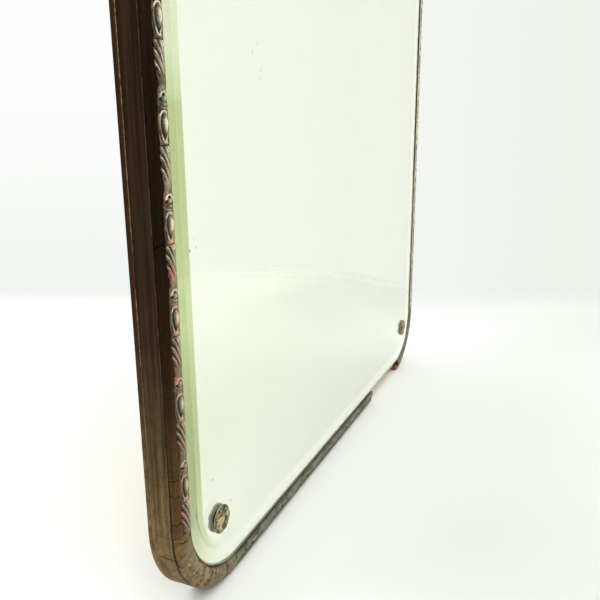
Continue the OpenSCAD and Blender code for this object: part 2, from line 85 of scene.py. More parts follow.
def meshObject(name, points, faces, smooth=True):
    mesh = bpy.data.meshes.new(name)
    mesh.from_pydata([tuple(p) for p in points], [], faces)
    mesh.polygons.foreach_set("use_smooth", [smooth] * len(mesh.polygons))
    mesh.update()
    return linkObject(name, mesh)


def bandFaces(first, rings, n):
    # the faces between rings of n points each, from the point numbered first
    starts = [first + i * n for i in range(rings - 1)]
    return [(a + j, a + (j + 1) % n, a + n + (j + 1) % n, a + n + j) for a in starts for j in range(n)]


def setPointValues(mesh, values):
    for name, numbers in values.items():
        layer = mesh.attributes.get(name) or mesh.attributes.new(name, "FLOAT", "POINT")
        layer.data.foreach_set("value", np.asarray(numbers, np.float32))


def lineObject(name, points, closed, values):
    # a wire of edges that a sweep reads, with values at each point
    count = len(points)
    edges = [(i, (i + 1) % count) for i in range(count if closed else count - 1)]
    mesh = bpy.data.meshes.new(name)
    mesh.from_pydata([tuple(p) for p in points], edges, [])
    setPointValues(mesh, values)
    return linkObject(name, mesh)


def closeShell(piece, sharp=None):
    # turns the faces outwards and keeps the edges past an angle sharp
    shell = bmesh.new()
    shell.from_mesh(piece.data)
    bmesh.ops.recalc_face_normals(shell, faces=shell.faces)
    shell.to_mesh(piece.data)
    shell.free()
    if sharp:
        piece.data.set_sharp_from_angle(angle=math.radians(sharp))


def keepPiece(piece, replaced):
    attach(piece, "mirror")
    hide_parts(replaced)


# node trees

class Value:
    # a socket's value: arithmetic with it adds Math nodes to its tree
    def __init__(self, net, socket):
        self.net, self.socket = net, socket

    def beside(self, name):
        return Value(self.net, self.socket.node.outputs[name])

    def scaled(self, factor, offset):
        return self.net.math("MULTIPLY_ADD", self, factor, offset)

    def __add__(self, other):
        return self.net.math("ADD", self, other)

    def __sub__(self, other):
        return self.net.math("SUBTRACT", self, other)

    def __rsub__(self, other):
        return self.net.math("SUBTRACT", other, self)

    def __mul__(self, other):
        return self.net.math("MULTIPLY", self, other)

    def __truediv__(self, other):
        return self.net.math("DIVIDE", self, other)

    def __neg__(self):
        return self * -1.0

    def __abs__(self):
        return self.net.math("ABSOLUTE", self)


def greatest(first, *others):
    for other in others:
        first = first.net.math("MAXIMUM", first, other)
    return first


class Net:
    # a node tree with short ways to add to it
    def __init__(self, tree):
        self.tree = tree

    def put(self, value, socket):
        if isinstance(value, Value):
            self.tree.links.new(value.socket, socket)
        else:
            socket.default_value = (*value, 1.0) if socket.type == "RGBA" else value

    def add(self, kind, output=0, settings=None, **values):
        # an input is named, or numbered as in i0
        node = self.tree.nodes.new(kind)
        for key, value in (settings or {}).items():
            setattr(node, key, value)
        for key, value in values.items():
            self.put(value, node.inputs[int(key[1:]) if key[1:].isdigit() else key.replace("_", " ")])
        return Value(self, node.outputs[output])

    def math(self, operation, a, b=0.0, c=0.0, clamp=False):
        return self.add("ShaderNodeMath", 0, {"operation": operation, "use_clamp": clamp}, i0=a, i1=b, i2=c)

    def vector(self, operation, a, **others):
        return self.add("ShaderNodeVectorMath", 0, {"operation": operation}, i0=a, **others)

    def mask(self, value, low, high, lowest=0.0, highest=1.0):
        # the lowest value below low, the highest above high, smooth between
        return self.add("ShaderNodeMapRange", "Result", {"interpolation_type": "SMOOTHSTEP"}, Value=value,
                        From_Min=low, From_Max=high, To_Min=lowest, To_Max=highest)

    def noise(self, scale, detail=3.0, roughness=0.55, at=None):
        return self.add("ShaderNodeTexNoise", "Fac", Vector=at or self.place, Scale=scale, Detail=detail,
                        Roughness=roughness)

    def patches(self, low, high, *noise):
        return self.mask(self.noise(*noise), low, high)

    def mix(self, factor, a, b, blend="MIX"):
        settings = {"data_type": "RGBA", "blend_type": blend, "clamp_factor": True}
        return self.add("ShaderNodeMix", 2, settings, i0=factor, i6=a, i7=b)


def newNet(name, kind, inputs, outputs):
    # a node group: an input is given by its default, or by its kind of socket where it has none
    net = Net(bpy.data.node_groups.new(name, kind))
    for label, value in inputs.items():
        bare = isinstance(value, str)
        socketKind = value if bare else {float: "Float", int: "Int", tuple: "Vector"}[type(value)]
        socket = net.tree.interface.new_socket(label, in_out="INPUT", socket_type="NodeSocket" + socketKind)
        if not bare:
            socket.default_value = value
    for label, socketKind in outputs.items():
        net.tree.interface.new_socket(label, in_out="OUTPUT", socket_type="NodeSocket" + socketKind)
    sockets = net.tree.nodes.new("NodeGroupInput").outputs
    net.given = {label: Value(net, sockets[label]) for label in inputs}
    net.result = net.tree.nodes.new("NodeGroupOutput").inputs
    return net


def makeMottle():
    # uneven old finish: a large cloud, a fine speckle and long streaks
    net = newNet("mottle", "ShaderNodeTree",
                 {"Vector": "Vector", "Cloud Scale": 40.0, "Speckle Scale": 700.0, "Streak": (400.0, 400.0, 12.0)},
                 {"Cloud": "Float", "Speckle": "Float", "Streaks": "Float"})
    at = net.given["Vector"]
    run = net.vector("MULTIPLY", at, i1=net.given["Streak"])
    for label, low, high, *noise in (("Cloud", 0.34, 0.66, net.given["Cloud Scale"], 4.0, 0.6, at),
                                     ("Speckle", 0.32, 0.68, net.given["Speckle Scale"], 3.0, 0.65, at),
                                     ("Streaks", 0.3, 0.7, 1.0, 4.0, 0.6, run)):
        net.put(net.patches(low, high, *noise), net.result[label])
    return net.tree


def makeHeightFade():
    # 1 at a low height and 0 at a high one, with an uneven edge
    net = newNet("heightFade", "ShaderNodeTree", {"Vector": "Vector", "Low": 0.0, "High": 0.3}, {"Fade": "Float"})
    at = net.given["Vector"]
    height = net.add("ShaderNodeSeparateXYZ", "Z", Vector=at) + net.noise(18.0, at=at).scaled(0.12, -0.06)
    net.put(net.mask(height, net.given["Low"], net.given["High"], 1.0, 0.0), net.result["Fade"])
    return net.tree


def makeFineCracks():
    # hairline crazing of a varnish or a gesso ground
    net = newNet("fineCracks", "ShaderNodeTree", {"Vector": "Vector", "Scale": 60.0, "Width": 0.03, "Amount": 0.5},
                 {"Cracks": "Float"})
    at = net.given["Vector"]
    swirl = net.add("ShaderNodeTexNoise", "Color", Vector=at, Scale=90.0, Detail=2.0)
    bent = net.vector("MULTIPLY_ADD", swirl, i1=(0.006, 0.006, 0.006), i2=at)
    cells = net.add("ShaderNodeTexVoronoi", "Distance", {"feature": "DISTANCE_TO_EDGE"}, Vector=bent,
                    Scale=net.given["Scale"])
    line = 1.0 - net.math("DIVIDE", cells, net.given["Width"], clamp=True)
    present = net.mask(net.noise(22.0, 2.0, at=at), 0.42, 0.6)
    net.put(line * present * net.given["Amount"], net.result["Cracks"])
    return net.tree


mottleGroup = makeMottle()
heightFadeGroup = makeHeightFade()
fineCracksGroup = makeFineCracks()
print("shader groups made")


class Finish(Net):
    # one material: its shader, its Object coordinates and its colour, which builds up coat by coat
    def __init__(self, name, **constants):
        self.material = bpy.data.materials.new(name)
        self.material.use_nodes = True
        super().__init__(self.material.node_tree)
        self.shader = next(n for n in self.tree.nodes if n.type == "BSDF_PRINCIPLED").inputs
        self.place = self.add("ShaderNodeTexCoord", "Object")
        for key, value in constants.items():
            self.shader[key.replace("_", " ")].default_value = value

    @cached_property
    def x(self):
        return self.add("ShaderNodeSeparateXYZ", "X", Vector=self.place)

    @property
    def y(self):
        return self.x.beside("Y")

    @property
    def z(self):
        return self.x.beside("Z")

    def group(self, tree, output, **values):
        return self.add("ShaderNodeGroup", output, {"node_tree": tree}, Vector=self.place, **values)

    def mottle(self, **values):
        cloud = self.group(mottleGroup, "Cloud", **values)
        return cloud, cloud.beside("Speckle"), cloud.beside("Streaks")

    def fade(self, low, high):
        return self.group(heightFadeGroup, "Fade", Low=low, High=high)

    def cracks(self, scale, width, amount):
        return self.group(fineCracksGroup, "Cracks", Scale=scale, Width=width, Amount=amount)

    def value(self, name, *limits):
        # a value kept at the mesh's points, or its mask between two limits
        value = self.add("ShaderNodeAttribute", "Fac", {"attribute_name": name})
        return self.mask(value, *limits) if limits else value

    def streaks(self, scale, detail=4.0):
        return self.noise(1.0, detail, 0.6, self.add("ShaderNodeMapping", "Vector", Vector=self.place, Scale=scale))

    def coat(self, factor, colour):
        self.colour = self.mix(factor, self.colour, colour)

    def done(self, rough=None, metal=None, bump=None):
        # bump is a height with its distance and its strength
        normal = None
        if bump:
            normal = self.add("ShaderNodeBump", "Normal", Height=bump[0], Distance=bump[1], Strength=bump[2])
        fed = {"Base Color": self.colour, "Roughness": rough, "Metallic": metal, "Normal": normal}
        for name, value in fed.items():
            if value:
                self.put(value, self.shader[name])
        return self


def outlineDistance(f, halfX, halfZ, radius):
    # signed distance from a rounded rectangle, negative inside, and how far the nearest edge faces sideways
    x = f.math("MAXIMUM", abs(f.x) - (halfX - radius), 0.0)
    z = f.math("MAXIMUM", abs(f.z - halfHeight) - (halfZ - radius), 0.0)
    length = f.math("SQRT", x * x + z * z)
    return length - radius, x / f.math("MAXIMUM", length, 0.0001)


spots = {
    # places (x, z) and sizes of the blemishes, in metres
    "dark": [(-0.3592, 0.3433, 0.0015), (-0.3404, 0.1222, 0.0013), (-0.3087, 0.083, 0.0011),
             (0.0535, 0.281, 0.0020)],
    "grey": [(-0.3498, 0.3446, 0.0022), (-0.353, 0.352, 0.0012), (-0.2288, 0.5167, 0.0022),
             (-0.2384, 0.5081, 0.0026), (-0.2216, 0.4934, 0.0026), (-0.2241, 0.4851, 0.0021)],
    "pale": [(-0.2213, 0.5113, 0.0026), (-0.2264, 0.4931, 0.0022), (-0.229, 0.478, 0.0016)],
    "smudge": [(-0.3670, 0.1015, 0.0058), (-0.3645, 0.0895, 0.0052), (-0.3615, 0.0830, 0.0040)],
    "clayEnd": [(-0.3165, 0.008, 0.0072)], "clayBottom": [(-0.2755, 0.0125, 0.0046)],
}


def spotMask(f, name, soft, ragged):
    rough = f.noise(700.0, 3.0, 0.7).scaled(ragged, -ragged / 2)
    marks = []
    for x, z, size in spots[name]:
        dx, dz = f.x - x, f.z - z
        away = f.math("SQRT", dx * dx + dz * dz) + rough
        marks.append(1.0 - f.mask(away, size * (1 - soft), size))
    return greatest(*marks)


varnishColours = {
    "black": (0.0075, 0.0035, 0.0014), "deep": (0.014, 0.007, 0.0035), "body": (0.033, 0.018, 0.0085),
    "warm": (0.105, 0.062, 0.026), "worn": (0.275, 0.178, 0.073), "beadDeep": (0.013, 0.0065, 0.0027),
    "beadWarm": (0.085, 0.042, 0.016), "bead": (0.16, 0.088, 0.034), "pale": (0.33, 0.26, 0.15),
    "paleHigh": (0.25, 0.18, 0.155), "crack": (0.004, 0.0022, 0.0012), "red": (0.055, 0.020, 0.009),
    "clay": (0.31, 0.092, 0.034), "tornWood": (0.34, 0.19, 0.10), "dusty": (0.26, 0.25, 0.165),
    "dustyDark": (0.11, 0.107, 0.068), "grime": (0.085, 0.082, 0.048), "buff": (0.40, 0.33, 0.20),
    "blotch": (0.07, 0.042, 0.019), "rubbed": (0.27, 0.235, 0.15), "olive": (0.19, 0.195, 0.125),
    "rear": (0.020, 0.0135, 0.008), "rearRed": (0.060, 0.018, 0.006), "giltDark": (0.22, 0.12, 0.05),
    "gilt": (0.40, 0.27, 0.13), "giltLow": (0.36, 0.30, 0.19), "outside": (0.075, 0.05, 0.028),
    "outsideWarm": (0.12, 0.08, 0.045),
}
# colours of the upper and lower parts, the height where they meet, shine, painted shade in the quirk at the bead's
# foot and dust near the floor
sideLook = {"upper": ("deep", "body"), "lower": ("warm", "worn"), "high": 0.19, "specular": 0.04,
            "foot": 0.0, "dust": 0.0}
beadLook = {"upper": ("black", "beadDeep"), "lower": ("beadWarm", "bead"), "high": 0.22, "specular": 0.01,
            "foot": 0.45, "dust": 0.85}


def varnishDone(f, dark, rough, height, strength):
    # cracks, then red clay and raw wood where a moulding is broken off
    f.coat(dark, varnishColours["crack"])
    torn = f.mix(f.patches(0.4, 0.6, 420.0, 4.0), varnishColours["clay"], varnishColours["tornWood"])
    f.coat(f.value("free", 0.5, 0.95), torn)
    return f.done(rough, bump=(height, 0.0004, strength))


def varnishedFinish(name, streak, look):
    # dark brown varnish over gesso, lighter and browner towards the floor
    c = varnishColours
    f = Finish(name, Specular_IOR_Level=look["specular"])
    cloud, speckle, streaks = f.mottle(Streak=streak)
    fade = f.fade(0.10, look["high"]).scaled(0.62, f.fade(0.17, 0.32) * 0.38)
    (deep, body), (warm, worn) = ([c[key] for key in look[part]] for part in ("upper", "lower"))
    ruddy = f.mask(f.streaks(tuple(v * 0.5 for v in streak)), 0.52, 0.7)
    upper = f.mix(ruddy * 0.25, f.mix(streaks, deep, body), c["red"])
    lower = f.mix(cloud * 0.35, f.mix(streaks, warm, worn), warm)
    lower = f.mix(f.patches(0.44, 0.62, 120.0, 5.0, 0.72) * 0.35, lower, c["blotch"])
    f.colour = f.mix(fade, upper, lower)
    if look["dust"]:
        f.coat((1.0 - f.mask(f.z, 0.012, 0.026)) * look["dust"], f.mix(cloud * speckle, c["dustyDark"], c["dusty"]))
    f.coat(speckle * 0.02, c["pale"])
    # painted pale along the arrises marked worn: rubbed varnish, with a painted highlight along the edge
    rubbed = f.mask(f.value("worn") * (f.noise(75.0, 5.0, 0.75) + 0.2), 0.55, 0.8)
    f.coat(rubbed * fade.scaled(0.4, 0.3), f.mix(fade, c["paleHigh"], c["pale"]))
    crazing = f.cracks(55.0, 0.022, 0.55) * fade.scaled(0.6, 0.12)
    dark = greatest(crazing, f.value("dent", 0.12, 0.6))
    if not look["dust"]:
        f.coat((1.0 - f.mask(f.z, 0.045, 0.075)) * f.patches(0.45, 0.62, 55.0, 4.0, 0.65) * 0.7, c["grime"])
        # painted shade: the side darkened along the quirk beside the bead, more towards the floor
        seam = 1.0 - f.mask(f.y, boardFront + 0.0004, boardFront + 0.0011)
        dark = greatest(dark, seam * (fade * 0.75))
    # painted shade: the bead darkened at its foot in the quirk, more towards the floor
    if look["foot"]:
        gap = f.mask(f.y, boardFront - 0.0013, boardFront - 0.0006)
        dark = greatest(dark, gap * fade.scaled(0.5, look["foot"]))
    return varnishDone(f, dark, cloud.scaled(0.2, 0.36), streaks.scaled(0.6, speckle * 0.2 - crazing), 0.5)


def rawWoodFinish(name, grain, look):
    # planed softwood: growth lines along the grain, pores, darker stains
    f = Finish(name)
    rings = f.streaks(grain, 5.0)
    lines = f.mask(f.streaks(tuple(g * 4 for g in grain), 3.0), 0.35, 0.7)
    f.colour = f.mix(f.mask(rings, 0.35, 0.65), look["pale"], look["dark"])
    f.coat(lines * 0.35, tuple(c * 0.55 for c in look["dark"]))
    f.coat(f.patches(0.45, 0.75, 6.0, 4.0) * look["dirt"], look["stain"])
    if "torn" in look:
        # fresh pale wood at the lowest edge, bare where the moulding is lost
        f.coat(0.95 - f.mask(f.z, 0.018, 0.021), look["torn"])
    return f.done(lines.scaled(0.12, 0.75), bump=(lines + rings * 0.6, 0.0003, 0.5))


def uprightAndLevel(name, fine, coarse, look):
    # two varnishes, one with its streaks upright and one with them level
    upright = varnishedFinish(name, (fine, fine, coarse), look)
    return upright, varnishedFinish(name + "Across", (coarse, fine, fine), look)


def metalFinish(name, bright, dull, rough, rust=(0.16, 0.07, 0.03), rustAmount=0.25):
    f = Finish(name, Metallic=0.9)
    cloud, speckle = f.mottle(Cloud_Scale=160.0, Speckle_Scale=1800.0)[:2]
    f.colour = f.mix(cloud, bright, dull)
    f.coat(f.patches(0.55, 0.72, 420.0, 4.0) * rustAmount, rust)
    return f.done(speckle.scaled(0.2, rough), bump=(speckle, 0.00008, 0.5))


sideFinish, sideEndFinish = uprightAndLevel("brownSideVarnish", 260.0, 7.0, sideLook)
beadFinish, beadEndFinish = uprightAndLevel("brownBeadVarnish", 300.0, 9.0, beadLook)


def makeCornerFinish():
    # the plain corners: brown varnish, grey on the crown from rubbing and a painted sheen, and buff
    c = varnishColours
    f = Finish("rubbedCornerVarnish", Specular_IOR_Level=0.06)
    cloud, speckle, streaks = f.mottle(Cloud_Scale=55.0, Streak=(90.0, 90.0, 90.0))
    fade = f.fade(0.12, 0.5)
    f.colour = f.mix(cloud, c["body"], c["warm"])
    f.coat(fade * streaks.scaled(0.6, 0.3), c["worn"])
    # painted sheen: the crown greyed towards the glass, with rubbed wear
    f.coat(f.value("crown", 0.35, 0.95) * f.patches(0.38, 0.62, 70.0, 5.0, 0.65) * 0.7, c["rubbed"])
    f.coat(f.patches(0.575, 0.62, 260.0, 4.0, 0.7) * fade * 0.8, c["buff"])
    f.coat(f.patches(0.52, 0.60, 170.0, 5.0, 0.75) * fade * 0.75, c["deep"])
    f.coat(f.mask(f.z, 0.055, 0.095) * fade * 0.6, f.mix(cloud, c["beadWarm"], c["bead"]))
    f.coat((1.0 - f.mask(f.z, 0.008, 0.030)) * 0.55, f.mix(cloud * speckle, c["dustyDark"], c["dusty"]))
    f.coat(spotMask(f, "clayEnd", 0.5, 0.004) * 0.85, c["clay"])
    f.coat(f.mask(f.x, 0.30, 0.35) * (0.75 - f.mask(f.z, 0.09, 0.16) * 0.75), c["olive"])
    crazing = f.cracks(48.0, 0.014, 0.18)
    # painted shade in the quirk at the corner bead's foot
    gap = f.mask(f.y, boardFront - 0.0019, boardFront - 0.0009)
    dark = greatest(crazing, f.value("dent", 0.12, 0.6), gap * 0.92)
    return varnishDone(f, dark, cloud.scaled(0.2, 0.3), speckle * 0.4 - crazing, 0.6)


cornerFinish = makeCornerFinish()


def makeRearFinish():
    # the rear strip: dark, mottled with red brown, with a gilt line along its front edge
    c = varnishColours
    f = Finish("brownRearVarnish", Specular_IOR_Level=0.05)
    cloud, speckle = f.mottle(Cloud_Scale=70.0)[:2]
    fade = f.fade(0.05, 0.30)
    f.colour = f.mix(fade, f.mix(cloud, c["rear"], c["body"]), f.mix(cloud, c["warm"], c["worn"]))
    depth = f.y - rearFront + f.noise(90.0, 3.0).scaled(0.0010, -0.0005)
    f.coat((1.0 - f.mask(depth, 0.0014, 0.0030)) * cloud.scaled(0.5, 0.5) * fade.scaled(-0.7, 0.9), c["rearRed"])
    # the line is whole in the upper part and broken lower down
    whole = fade.scaled(-0.17, f.noise(60.0, 5.0, 0.7) + 0.13)
    broken = greatest(f.patches(0.42, 0.54, 13.0, 2.0) * 0.7, f.mask(f.z, 0.32, 0.40))
    line = (1.0 - f.mask(depth, 0.0003, 0.0009)) * (f.mask(whole, 0.40, 0.56) * broken)
    gilt = f.mix(f.patches(0.42, 0.62, 220.0), c["giltDark"], c["gilt"])
    f.coat(line, f.mix(fade * 0.7, gilt, c["giltLow"]))
    outside = f.mask(outlineDistance(f, halfWidth, halfHeight, outerRadius)[0], -0.0016, -0.0008)
    f.colour = f.mix(outside, f.mix(cloud, c["outside"], c["outsideWarm"]), f.colour)
    return f.done(cloud.scaled(0.2, 0.38), line * outside * 0.3, (speckle, 0.0002, 0.6))


rearFinish = makeRearFinish()

leafColours = {
    "shade": (0.080, 0.060, 0.032), "silver": (0.37, 0.315, 0.20), "bright": (0.95, 0.87, 0.65),
    "dull": (0.25, 0.165, 0.10), "olive": (0.10, 0.107, 0.060), "oliveLight": (0.31, 0.32, 0.21),
    "clayDeep": (0.40, 0.13, 0.075), "clay": (0.74, 0.33, 0.22), "grey": (0.17, 0.165, 0.17),
    "dirt": (0.016, 0.009, 0.005), "edge": (0.76, 0.72, 0.54), "pink": (0.40, 0.15, 0.14),
}


def makeOrnamentFinish():
    # tarnished silver leaf over red clay: clay at the worn places, dirt and painted shade in the hollows, painted
    # highlights on the crests, and painted light and shade on the flanks that face the glass
    c = leafColours
    f = Finish("silverLeaf", Specular_IOR_Level=0.3)
    cloud, speckle = f.mottle(Cloud_Scale=120.0, Speckle_Scale=1400.0)[:2]
    low = f.fade(0.16, 0.46)
    floorward = f.fade(0.03, 0.07)
    crest = f.value("crest", 0.08, 0.85)
    # painted highlights: bright on the crests, which hold rubbed silver and painted highlights; lower down the
    # shade colour off the crests
    upper = f.mix(crest * 0.95, f.mix(cloud, c["shade"], c["silver"]), c["bright"])
    lower = f.mix(cloud, c["dull"], f.mix(crest, c["shade"], c["silver"]))
    f.colour = f.mix(low * 0.75, upper, f.mix(crest * 0.22, lower, c["bright"]))
    f.coat(floorward, f.mix(crest.scaled(0.5, cloud * 0.5), c["olive"], c["oliveLight"]))
    f.coat(f.patches(0.56, 0.66, 75.0, 3.0) * floorward.scaled(-0.45, 0.5), c["grey"])
    ragged = f.patches(0.32, 0.52, 330.0, 4.0, 0.65)
    clay = f.math("MULTIPLY", f.value("clay", 0.1, 0.7), ragged * f.patches(0.32, 0.48, 95.0, 4.0, 0.6), clamp=True)
    loose = f.patches(0.54, 0.61, 70.0, 5.0, 0.7) * (ragged * 0.85)
    clay = greatest(clay, loose) * (f.fade(0.34, 0.50) * floorward.scaled(-0.85, 1.0))
    f.coat(clay, f.mix(speckle, c["clayDeep"], c["clay"]))
    f.coat(spotMask(f, "clayBottom", 0.5, 0.004) * 0.9, c["pink"])
    # painted light and shade on the flanks that face the glass: pale on the right side, dark on the left
    right = f.mask(f.x, 0.30, 0.36)
    inner = f.value("inner", 0.1, 0.9)
    f.coat(inner * right, c["edge"])
    # dirt and painted shade: near-black in the hollows and on the left side's glass-facing flanks
    dirt = greatest(f.value("hollow", 0.15, 0.75), inner * right.scaled(-0.6, 0.6))
    f.coat(dirt * 0.95, c["dirt"])
    metal = (1.0 - greatest(clay, dirt)) * low.scaled(-0.30, 0.45)
    return f.done(speckle.scaled(0.22, 0.30), metal, (speckle + cloud * 0.5, 0.00018, 0.7))


rosetteColours = {
    "dark": (0.14, 0.115, 0.045), "light": (0.29, 0.24, 0.105), "crest": (0.66, 0.58, 0.33),
    "stain": (0.10, 0.11, 0.06), "dirt": (0.010, 0.010, 0.006), "under": (0.85, 0.88, 0.80),
}


def makeRosetteFinish():
    # aged brass, dark in the hollows and pale underneath, where the plate lies against it
    c = rosetteColours
    f = Finish("agedRosetteBrass")
    cloud, speckle = f.mottle(Cloud_Scale=260.0, Speckle_Scale=2400.0)[:2]
    f.colour = f.mix(cloud, c["dark"], c["light"])
    f.coat(f.value("crest", 0.15, 0.8), c["crest"])
    f.coat(speckle * 0.35, c["stain"])
    dirt, under = f.value("hollow", 0.1, 0.5), f.value("under")
    f.coat(dirt, c["dirt"])
    f.coat(under, c["under"])
    return f.done(speckle.scaled(0.25, 0.32), greatest(dirt, under).scaled(-0.7, 0.75), (speckle, 0.00012, 0.7))


ornamentFinish = makeOrnamentFinish()
rosetteFinish = makeRosetteFinish()

glassShape = {
    "radius": 0.079, "bevel": 0.019, "drop": 0.0012, "arris": 0.00025, "cornerSteps": 40, "hole": 0.004,
    "holeSides": 40, "drillLong": 0.03, "silverInset": 0.0006, "silverFront": 0.00002, "silverBack": 0.00001,
}
glassLook = {
    "tint": (0.986, 1.0, 0.94), "bevelTint": (0.998, 1.0, 0.95), "silver": (1.0, 1.0, 0.985),
    "silverCloud": (0.955, 0.975, 0.93), "spot": (0.10, 0.12, 0.09), "pale": (0.86, 0.87, 0.84),
    "smudge": (0.36, 0.42, 0.35), "crestTint": (0.995, 1.0, 0.87), "sightTint": (0.26, 0.28, 0.07),
    # depth of the painted shade beside the sight line, a dark reflection of the moulding, and the painted shadow
    # along the plate's foot
    "sightShade": 0.0022, "border": 0.0030, "borderColour": (0.10, 0.105, 0.055),
    # where light that comes in through the bevel leaves through the flat, from the plate's edge
    "stripInner": -0.0228, "stripOuter": -0.0150, "stripSoft": 0.0004, "stripTint": (0.85, 0.86, 0.93),
    # painted reflection: the greens that the left bevel shows, and where each stands: pale at foot and top, deeper
    # between
    "bevelPale": (0.94, 1.0, 0.70), "bevelMid": (0.76, 0.85, 0.45), "bevelDeep": (0.63, 0.72, 0.33),
    "bevel": [(0.03, "bevelPale"), (0.15, "bevelDeep"), (0.20, "bevelDeep"), (0.28, "bevelMid"),
              (0.38, "bevelDeep"), (0.46, "bevelDeep"), (0.465, "bevelMid"), (0.50, "bevelPale")],
}


def bevelColour(f, sideways):
    # painted reflection: green on the bevel along the left side only, in steps of its height
    steps = glassLook["bevel"]
    ramp = f.add("ShaderNodeValToRGB", "Color", Fac=f.z / frameTop)
    stops = ramp.socket.node.color_ramp.elements
    while len(stops) < len(steps):
        stops.new(1.0)
    for stop, (height, shade) in zip(stops, steps):
        stop.position = height / frameTop
        stop.color = (*glassLook[shade], 1.0)
    left = f.mask(sideways, 0.35, 1.0) * f.mask(-f.x, 0.0, 0.01)
    return f.mix(left, glassLook["bevelTint"], ramp), left


def makeGlassFinish():
    # clear plate, with painted green reflections on the left bevel and a painted fringe beside it
    look, inset = glassLook, glassShape["bevel"]
    f = Finish("bevelledGlass", Roughness=0.0, IOR=1.52, Transmission_Weight=1.0)
    flatRadius = glassShape["radius"] - inset
    across, sideways = outlineDistance(f, glassHalf - inset, halfHeight - glassLow - inset, flatRadius)
    bevel, left = bevelColour(f, sideways)
    # painted reflection: a yellow fringe on the flat beside the left bevel
    flat = f.mix(f.mask(across, -0.007, -0.0005) * left, look["tint"], look["crestTint"])
    f.colour = f.mix(f.mask(across, -0.0002, 0.0002), flat, bevel)
    # painted shade: a dark reflection of the moulding beside the sight line, on the left
    beside = f.mask(abs(f.x), sightHalf - look["sightShade"], sightHalf - look["sightShade"] * 0.4)
    f.coat(beside * left, look["sightTint"])
    front = 1.0 - f.mask(f.y, glassFront + 0.0030, glassFront + 0.0034)
    f.colour = f.mix(front, look["tint"], f.colour)
    return f.done()


def makeSilverFinish():
    # old silvering: faint clouds, dark specks, a smudge and tarnish along the edge
    look = glassLook
    f = Finish("oldSilvering", Metallic=1.0, Roughness=0.015)
    across, sideways = outlineDistance(f, glassHalf, halfHeight - glassLow, glassShape["radius"])
    cloud = f.noise(24.0, 5.0, 0.6)
    edge = f.mask(across, -0.012, 0.0) * f.patches(0.52, 0.66, 140.0, 5.0, 0.7)
    specks = f.patches(0.77, 0.8, 620.0, 2.0) * f.mask(cloud, 0.5, 0.62)
    dark = greatest(spotMask(f, "dark", 0.5, 0.0012), specks * 0.7, edge * 0.3,
                    spotMask(f, "grey", 0.8, 0.002) * 0.3)
    f.colour = f.mix(f.mask(cloud, 0.35, 0.7) * 0.2, look["silver"], look["silverCloud"])
    f.coat(spotMask(f, "pale", 0.8, 0.002) * 0.5, look["pale"])
    f.coat(spotMask(f, "smudge", 0.7, 0.006) * 0.75, look["smudge"])
    # light that comes in through the bevel and leaves through the flat is tinted once more here
    soft = look["stripSoft"]
    strip = f.mask(across, look["stripInner"] - soft, look["stripInner"] + soft)
    strip = strip * (1.0 - f.mask(across, look["stripOuter"] - soft, look["stripOuter"] + soft))
    deep, left = bevelColour(f, sideways)
    root = f.mix(1.0, f.add("ShaderNodeGamma", "Color", Color=deep, Gamma=0.5), look["stripTint"], "MULTIPLY")
    f.coat(strip * left, root)
    f.coat(dark * 0.75, look["spot"])
    # painted shadow: dark olive along the plate's foot, under the bottom rail
    border = f.mask(across, -look["border"], -look["border"] * 0.55) * (1.0 - f.mask(f.z, 0.05, 0.10))
    f.coat(border * 0.85, look["borderColour"])
    return f.done()


def makeFeltFinish():
    f = Finish("brownFelt", Roughness=0.95)
    fibres = f.noise(2600.0, 4.0, 0.7)
    f.colour = f.mix(fibres, (0.075, 0.05, 0.032), (0.17, 0.12, 0.08))
    return f.done(bump=(fibres, 0.0004, 0.8))


def makeRubberFinish(name, colour, rough):
    f = Finish(name)
    grain = f.noise(1500.0, 3.0)
    f.colour = f.mix(grain, colour, tuple(c * 2.2 for c in colour))
    return f.done(grain.scaled(0.2, rough), bump=(grain, 0.0001, 0.5))


boardLook = {"pale": (0.66, 0.52, 0.33), "dark": (0.50, 0.36, 0.20), "stain": (0.10, 0.065, 0.035),
             "dirt": 0.25, "torn": (1.0, 0.71, 0.40)}
memberLook = {"pale": (0.42, 0.29, 0.165), "dark": (0.29, 0.19, 0.10), "stain": (0.10, 0.065, 0.035),
              "dirt": 0.45}
glassFinish = makeGlassFinish()
silverFinish = makeSilverFinish()
boardFinish = rawWoodFinish("paleBoardWood", (60.0, 60.0, 3.0), boardLook)
memberFinish = rawWoodFinish("agedMemberWood", (70.0, 70.0, 3.5), memberLook)
railFinish = rawWoodFinish("agedRailWood", (3.5, 70.0, 70.0), memberLook)
steelFinish = metalFinish("dullScrewSteel", (0.42, 0.41, 0.39), (0.24, 0.23, 0.21), 0.4)
hangerFinish = metalFinish("platedHangerSteel", (0.56, 0.55, 0.50), (0.34, 0.32, 0.28), 0.32, rustAmount=0.4)
brassFinish = metalFinish("screwBrass", (0.62, 0.48, 0.22), (0.38, 0.27, 0.11), 0.3, (0.08, 0.10, 0.05), 0.4)
feltFinish = makeFeltFinish()
rubberFinish = makeRubberFinish("darkPadRubber", (0.012, 0.012, 0.012), 0.7)
fibreFinish = makeRubberFinish("darkFibre", (0.018, 0.014, 0.010), 0.75)
print("finishes made")


# geometry trees

def geometryNet(name, inputs):
    return newNet(name, "GeometryNodeTree", {**inputs, "Material": "Material"}, {"Geometry": "Geometry"})


def paintedTree(net, geometry):
    # smooth shaded, made real and painted
    smooth = net.add("GeometryNodeSetShadeSmooth", Geometry=geometry)
    real = net.add("GeometryNodeRealizeInstances", Geometry=smooth)
    painted = net.add("GeometryNodeSetMaterial", Geometry=real, Material=net.given["Material"])
    net.put(painted, net.result["Geometry"])
    return net.tree


def plainMesh(piece):
    return bpy.data.meshes.new_from_object(piece.evaluated_get(bpy.context.evaluated_depsgraph_get()))


